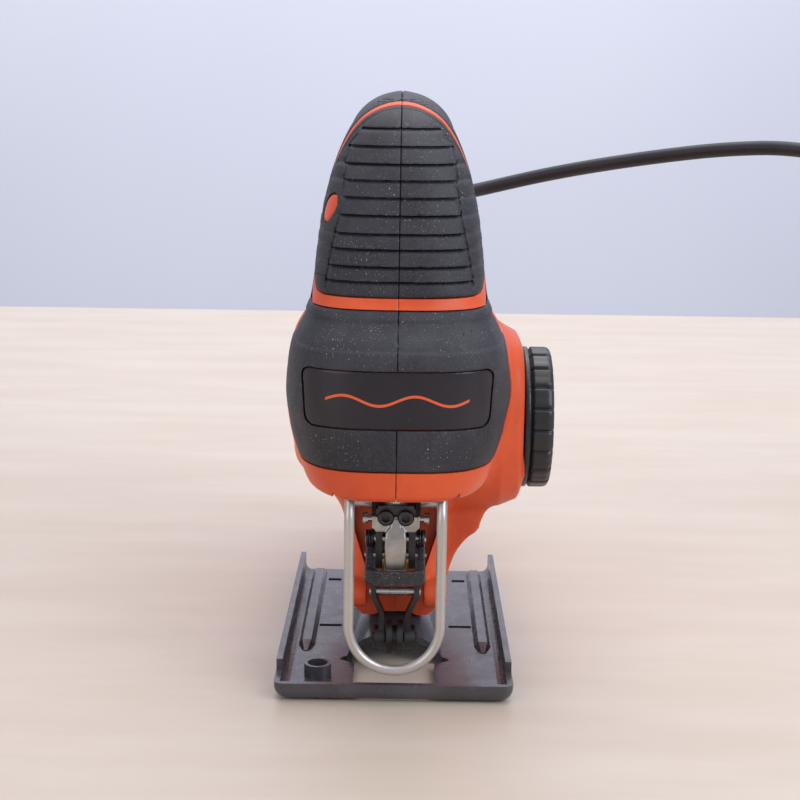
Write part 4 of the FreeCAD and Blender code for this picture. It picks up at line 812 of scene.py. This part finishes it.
ORANGE = (0.70, 0.080, 0.018)
M = {
    "shell": plastic("shell_orange", ORANGE, 0.42, 2200, 0.10, 0.05, light=(0.76, 0.105, 0.030)),
    "grip_rubber": plastic("grip_rubber", (0.022, 0.021, 0.030), 0.56, 1900, 0.60, 0.20, dust=0.22),
    "plate": plate_mat(),
    "zinc_steel": metal("zinc_steel", (0.52, 0.50, 0.48), 0.34, stain=(0.45, 0.42, 0.38), amount=0.55, spots=0.2),
    "black_enamel": enamel(),
    "blackened_steel": metal("blackened_steel", (0.085, 0.082, 0.088), 0.40, stain=(0.35, 0.32, 0.32), amount=0.6, strength=0.2),
    "guard_steel": metal("guard_steel", (0.56, 0.53, 0.51), 0.36, stain=(0.80, 0.78, 0.76), amount=0.35, strength=0.10, metallic=0.85),
    "black_plastic": plastic("black_plastic", (0.020, 0.019, 0.022), 0.42, 2200, 0.2, 0.12),
    "cast_aluminium": metal("cast_aluminium", (0.56, 0.56, 0.57), 0.48, amount=0.35, strength=0.35),
    "bronze": metal("bronze", (0.50, 0.30, 0.12), 0.38, amount=0.3),
    "bright_steel": metal("bright_steel", (0.62, 0.61, 0.60), 0.22, stain=(0.6, 0.6, 0.6), amount=0.25, brushed=(1.0, 1.0, 8.0)),
    "gear_steel": metal("gear_steel", (0.42, 0.41, 0.40), 0.32, amount=0.4),
    "lamination": laminated("lamination", (0.32, 0.32, 0.34), 0.0012, "Y"),
    "copper": laminated("copper_wire", (0.62, 0.22, 0.07), 0.0010, "Z"),
    "brass": metal("brass", (0.66, 0.46, 0.16), 0.30, stain=(0.55, 0.45, 0.4), amount=0.4),
    "carbon": plastic("carbon", (0.022, 0.022, 0.024), 0.55, 2600, 0.3, 0.15),
    "spring_steel": metal("spring_steel", (0.055, 0.052, 0.056), 0.30, amount=0.4, metallic=0.9),
    "lever_black": plastic("lever_black", (0.022, 0.020, 0.024), 0.46, 700, 0.85, 0.25, dust=0.30, worn=0.7),
    "dial_plastic": plastic("dial_plastic", (0.017, 0.017, 0.021), 0.36, 2400, 0.12, 0.10, coat=0.15),
    "button_orange": plastic("button_orange", (0.74, 0.080, 0.022), 0.34, 2400, 0.08, 0.05, coat=0.2),
    "cord_rubber": plastic("cord_rubber", (0.014, 0.013, 0.018), 0.46, 1500, 0.25, 0.12),
    "nickel": metal("nickel", (0.66, 0.63, 0.58), 0.18, amount=0.2),
}


def give(o, slot):
    o.data.materials.clear()
    o.data.materials.append(M[slot])
    if o.type == "MESH":
        o.data.polygons.foreach_set("material_index", np.zeros(len(o.data.polygons), np.int32))


cord.data.materials.append(M["cord_rubber"])

# every CAD node takes the material of its slot in the record
SLOT_OF = {}
RECORD = frame["record"]

for part in RECORD["subparts"]:
    SLOT_OF[part["node"]] = part["material_slot"]
SHOWN_AS = {"guard_holder": "black_plastic"}
for node, o in NODES.items():
    s = SHOWN_AS.get(node, SLOT_OF.get(node))
    if s in M:
        o.data.materials.clear()
        o.data.materials.append(M[s])
        o.data.polygons.foreach_set("material_index", np.zeros(len(o.data.polygons), np.int32))


BODY = {n: b for b, ns in RECORD["behaviour"]["bodies"].items() for n in ns}


def piece(name, f, lo, hi, step, body, slot, nodes=(), angle=34.0, sharp=0.04):
    o = mesh_field(name, f, lo, hi, step, angle, sharp)
    give(o, slot)
    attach(o, body)
    if nodes:
        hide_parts(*nodes)
    return o


# ---------------------------------------------------------------- shells and rubber
for side, word in ((1, "left"), (-1, "right")):
    def xs(a, b):
        return (a, b) if side > 0 else (-b, -a)
    x0, x1 = xs(-0.5, 43.5 if side > 0 else 38)
    piece("shell_" + word, shell_half(side), (x0, -74, 13), (x1, 151, 191.5), 0.95, "housing", "shell",
          ("housing_" + word,), 30)
    x0, x1 = xs(0, 36.5)
    piece("nose_pad_" + word, pad(in_nose, side, ribs=nose_relief, hole=lambda p: in_plate(p, 0.12)), (x0, -74, 75), (x1, -10, 126), 0.62,
          "housing", "grip_rubber", ("nose_grip_" + word,), 36)
    x0, x1 = xs(0, 29.5)
    piece("thumb_rib_" + word, pad(in_loop, side, ribs=rib_height, hole=(lambda p: button_hole(p, 0.25)) if side < 0 else None),
          (x0, -64, 127), (x1, -24, 190.5), 0.46, "housing", "grip_rubber", ("thumb_pad_" + word,), 36)
    piece("stripe_" + word, stripe_f(side), (x0, -64, 122), (x1, -22, 191), 0.42, "housing", "shell", (), 40)
    x0, x1 = xs(0, 30)
    piece("top_grip_" + word, pad(in_grip, side), (x0, -40, 123), (x1, 135, 191.5), 0.75, "housing", "grip_rubber",
          ("handle_grip_" + word,), 36)

piece("label_plate", name_plate_f, (-30.5, -74, 88), (30.5, -58, 109), 0.5, "housing", "plate", ("name_plate",))


def button_f(p):
    d = np.hypot((p[:, 1] - BUTTON[0]) / 0.86, p[:, 2] - BUTTON[1]) - 4.35
    d = smax(d, outer(p) + 0.1, 1.2)
    return np.maximum(d, p[:, 0] + 14.5)


piece("lock_cap", button_f, (-26.5, -51, 148), (-12, -39, 159), 0.35, "lock_button", "button_orange", ("lock_button",), 40)

# ---------------------------------------------------------------- dial
def dial_f(p):
    x = p[:, 0]
    y, z = p[:, 1] + 6.0, p[:, 2] - 80.5
    r = np.hypot(y, z)
    a = np.degrees(np.arctan2(z, y))
    u = (a / 18.0 + 0.5) % 1.0 - 0.5
    wide = u * 18 * math.pi / 180 * 24
    rim = 23.75 - 0.85 * np.exp(-(wide / 0.62) ** 2) + 0.30 * (1 - (np.abs(u) * 2) ** 2 * 0.6)
    lip = np.clip((x - 43.9) / 0.5, 0, 1)
    rim = 24.0 * (1 - lip) + rim * lip - 1.0 * np.exp(-((x - 44.2) / 0.45) ** 2)
    d = r - np.minimum(rim, 24.0)
    d = smax(d, x - 51.5, 2.6)
    d = smax(d, 41.9 - x, 0.6)
    # dished face with a raised pointer bar
    dish = smax(r - 19.0, 49.2 - x, 1.5)
    d = smax(d, -dish, 0.8)
    bar = f_box(p, (46.0, -9.6, 61.5), (51.4, -2.4, 98.6), 1.6)
    bar = smax(bar, r - 19.3, 0.5)
    d = smin(d, bar, 0.8)
    slot = f_box(p, (50.7, -6.6, 90), (52.4, -5.4, 97.4), 0.3)
    return smax(d, -slot, 0.2)


piece("mode_knob", dial_f, (41.3, -30.5, 56), (52.1, 18.5, 105), 0.48, "dial", "dial_plastic", ("mode_dial",), 38)


# ---------------------------------------------------------------- clamp
def tongue_f(p):
    """Bent steel tongue: a broad blade whose top narrows and turns back between the screws."""
    y, z = p[:, 1], p[:, 2]
    ax = np.abs(p[:, 0])
    w = np.interp(z, [38, 51.2, 53.0, 54.6, 57.5], [3.4, 3.4, 3.1, 1.75, 1.5])
    mid = np.interp(z, [38, 48, 51, 53.5, 56, 58], [-55.9, -55.9, -55.6, -54.9, -54.3, -54.1])
    d = smax(ax - w, np.abs(y - mid) - 0.75, 0.9)
    d = smax(d, 40.6 - z, 0.6)
    d = smax(d, z - 57.0, 0.6)
    head = f_box(p, (-7.5, -54.6, 52.7), (7.5, -53.55, 57.9), 0.4)
    head = smax(head, -(np.hypot(ax - 7.9, z - 52.4) - 1.6), 0.3)
    d = smin(d, head, 0.8)
    return smax(d, -(np.hypot(ax - 3.15, z - 57.4) - 2.55), 0.2)


def lever_f(p):
    ax, y, z = np.abs(p[:, 0]), p[:, 1], p[:, 2]
    # arms run from the pivot down and forward to the lip
    def bar(a, b, ra, rb):
        a, b = np.array(a, float), np.array(b, float)
        ab = b - a
        t = np.clip(((y - a[0]) * ab[0] + (z - a[1]) * ab[1]) / (ab @ ab), 0, 1)
        return np.hypot(y - a[0] - t * ab[0], z - a[1] - t * ab[1]) - (ra + (rb - ra) * t)
    arm = bar((-50.5, 44.2), (-56.0, 41.2), 3.5, 2.6)
    arm = smin(arm, bar((-56.0, 41.2), (-58.8, 40.0), 2.6, 2.3), 1.2)
    arm = smax(arm, np.abs(ax - 8.25) - 1.1, 0.8)
    bow = 0.9 * (1 - (ax / 9.4) ** 2)
    lip_y = -59.4 - bow
    lip = smax(np.abs(y - lip_y) - 1.75, np.abs(z - (40.0 - 0.7 * (1 - (ax / 9.4) ** 2))) - 2.35, 1.7)
    lip = smax(lip, ax - 9.0, 1.6)
    ridge = np.exp(-((z - 36.5) / 0.35) ** 2) * 0.0
    d = smin(arm, lip + ridge, 1.6)
    d = np.maximum(d, -(np.hypot(y + 50.5, z - 44.2) - 1.25))
    return np.maximum(d, -61.2 - y)


piece("clamp_lever", lever_f, (-9.6, -61.6, 35), (9.6, -45.5, 48.5), 0.34, "release_lever", "lever_black",
      ("release_lever",), 42)
piece("clamp_tongue", tongue_f, (-8, -57.2, 37.8), (8, -52.8, 58.4), 0.3, "plunger", "zinc_steel", ("blade_tongue",), 40)


def screws_f(p):
    """Two cap screws with hexagon sockets."""
    x, y, z = np.abs(p[:, 0]) - 3.15, p[:, 1], p[:, 2] - 57.4
    r = np.hypot(x, z)
    d = smax(r - 2.4, -55.1 - y, 0.5)
    d = np.maximum(d, y + 52.0)
    hexa = np.maximum(np.abs(x), np.abs(x) * 0.5 + np.abs(z) * 0.866) - 1.25
    return np.maximum(d, -np.maximum(hexa, y + 53.6))


piece("clamp_hex_screws", screws_f, (-5.8, -55.3, 54.8), (5.8, -51.8, 60), 0.22, "plunger", "blackened_steel",
      ("clamp_screws",), 35)


def helix_mesh(name, axis_from, axis_to, radius, wire, turns, body, slot, nodes=(), legs=True, res=8):
    """A coil spring swept as a tube round a line."""
    a, b = np.array(axis_from, float), np.array(axis_to, float)
    ax = (b - a) / np.linalg.norm(b - a)
    ref = np.array([0, 0, 1.0]) if abs(ax[2]) < 0.9 else np.array([0, 1.0, 0])
    u = np.cross(ax, ref)
    u /= np.linalg.norm(u)
    v = np.cross(ax, u)
    n = int(turns * 22) + 1
    t = np.linspace(0, 1, n)
    th = 2 * math.pi * turns * t
    pts = a + (b - a) * t[:, None] + radius * (np.cos(th)[:, None] * u + np.sin(th)[:, None] * v)
    tan = np.gradient(pts, axis=0)
    tan /= np.linalg.norm(tan, axis=1)[:, None]
    out = pts - (a + (b - a) * t[:, None])
    out /= np.linalg.norm(out, axis=1)[:, None]
    side = np.cross(tan, out)
    ring = np.linspace(0, 2 * math.pi, res, endpoint=False)
    vs = (pts[:, None, :] + wire * (np.cos(ring)[None, :, None] * out[:, None, :] + np.sin(ring)[None, :, None] * side[:, None, :])).reshape(-1, 3)
    faces = []
    for i in range(n - 1):
        for j in range(res):
            k = (j + 1) % res
            faces.append((i * res + j, i * res + k, (i + 1) * res + k, (i + 1) * res + j))
    faces.append(tuple(range(res - 1, -1, -1)))
    faces.append(tuple((n - 1) * res + j for j in range(res)))
    me = bpy.data.meshes.new(name)
    me.from_pydata([tuple(c * 0.001) for c in vs], [], faces)
    me.shade_smooth()
    me.validate()
    o = bpy.data.objects.new(name, me)
    scene.collection.objects.link(o)
    give(o, slot)
    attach(o, body)
    if nodes:
        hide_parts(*nodes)
    return o


for s, word in ((1, "left"), (-1, "right")):
    helix_mesh("clamp_spring_" + word, (s * 6.9, -50.2, 49.4), (s * 9.3, -50.2, 49.4), 2.55, 0.46, 2.75, BODY["clamp_springs"],
               "spring_steel", ("clamp_springs",))
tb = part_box("trigger_spring")
zc0, zc1 = tb[0][2] * 1000, tb[1][2] * 1000


# ---------------------------------------------------------------- swept wire helper (not called)
def wire_piece(name, pts, radius, body, slot, nodes, order=3, caps=True):
    cu = bpy.data.curves.new(name, "CURVE")
    cu.dimensions = "3D"
    sp = cu.splines.new("NURBS")
    sp.points.add(len(pts) - 1)
    for q, c in zip(sp.points, pts):
        q.co = (c[0] * 0.001, c[1] * 0.001, c[2] * 0.001, 1)
    sp.order_u = order
    sp.use_endpoint_u = True
    sp.resolution_u = 14
    cu.bevel_depth = radius * 0.001
    cu.bevel_resolution = 7
    cu.use_fill_caps = caps
    o = bpy.data.objects.new(name, cu)
    scene.collection.objects.link(o)
    o.data.materials.append(M[slot])
    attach(o, body)
    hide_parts(*nodes)
    return o


# ---------------------------------------------------------------- cord sleeve
def sleeve_f(p):
    x, y, z = p[:, 0], p[:, 1], p[:, 2] - 142.5
    r = np.hypot(x, z)
    rad = np.interp(y, [139, 141.6, 141.7, 150.4, 150.5, 152.0, 178.5], [9.2, 9.2, 7.4, 7.4, 6.4, 6.35, 4.6])
    k = (y - 153.5) / 3.55
    groove = 0.85 * np.exp(-(((k % 1.0) - 0.5) * 3.55 / 0.62) ** 2) * ((y > 154.0) & (y < 176.5))
    d = r - rad + groove
    d = smax(d, y - 178.45, 0.8)
    d = smax(d, 139.65 - y, 0.3)
    return np.maximum(d, 3.3 - r)


piece("cord_sleeve", sleeve_f, (-9.5, 139, 133), (9.5, 179, 152), 0.5, "housing", "black_plastic", ("cord_guard",), 38)


# ---------------------------------------------------------------- floor, wall and light
def cove():
    """A pale table top with a rounded back edge."""
    prof = [(-1.2, 0.0), (0.80, 0.0)]
    for k in range(1, 9):
        a = math.radians(90 * k / 8)
        prof.append((0.80 + 0.03 * math.sin(a), -0.03 + 0.03 * math.cos(a)))
    prof.append((0.83, -0.6))
    vs, fs = [], []
    for i, (y, z) in enumerate(prof):
        vs += [(-2.0, y, z - 0.0003), (2.0, y, z - 0.0003)]
        if i:
            fs.append((2 * i - 2, 2 * i - 1, 2 * i + 1, 2 * i))
    me = bpy.data.meshes.new("floor")
    me.from_pydata(vs, [], fs)
    me.shade_smooth()
    o = bpy.data.objects.new("floor", me)
    scene.collection.objects.link(o)
    m = Mat("floor_pale", rough=0.42)
    grain = m.noise(7, 5, 0.6, (1.0, 5.0, 1.0))
    m.colour(m.mix(m.ramp(grain, [(0.35, 0.0), (0.7, 1.0)]), (0.57, 0.47, 0.39), (0.62, 0.53, 0.45)))
    m.roughness(m.noise(12, 4), 0.34, 0.50)
    me.materials.append(m.m)


cove()


def wall():
    me = bpy.data.meshes.new("wall")
    me.from_pydata([(-6, 2.2, -2.5), (6, 2.2, -2.5), (6, 2.2, 4), (-6, 2.2, 4)], [], [(0, 1, 2, 3)])
    o = bpy.data.objects.new("wall", me)
    scene.collection.objects.link(o)
    m = Mat("wall_pale", rough=0.9)
    m.colour(m.mix(m.ramp(m.noise(1.2, 2), [(0.3, 0.0), (0.7, 1.0)]), (0.70, 0.72, 0.83), (0.74, 0.76, 0.86)))
    me.materials.append(m.m)


wall()


def area(name, place, aim, size, power, colour, size_y=None):
    d = bpy.data.lights.new(name, "AREA")
    d.energy, d.color, d.size = power, colour, size
    if size_y:
        d.shape, d.size_y = "RECTANGLE", size_y
    o = bpy.data.objects.new(name, d)
    scene.collection.objects.link(o)
    from mathutils import Vector
    o.location = place
    o.rotation_euler = (Vector(aim) - Vector(place)).to_track_quat("-Z", "Y").to_euler()
    return o


area("window", (0.85, -0.55, 0.75), (0.0, 0.0, 0.09), 0.7, 8.2, (0.86, 0.92, 1.0), 0.9)
area("fill", (-0.9, -0.9, 0.55), (0.0, 0.0, 0.08), 0.9, 3.4, (1.0, 0.96, 0.93))
area("top", (0.1, 0.1, 1.25), (0.0, 0.0, 0.1), 1.0, 6.2, (1.0, 0.99, 0.97))
area("wall_wash", (0.0, 1.2, 1.6), (0.0, 2.2, 0.1), 2.0, 33.0, (0.96, 0.97, 1.0))
w = bpy.data.worlds.new("room")
w.use_nodes = True
w.node_tree.nodes["Background"].inputs["Color"].default_value = (0.80, 0.83, 0.90, 1)
w.node_tree.nodes["Background"].inputs["Strength"].default_value = 0.56
scene.world = w
scene.view_settings.view_transform = "Standard"
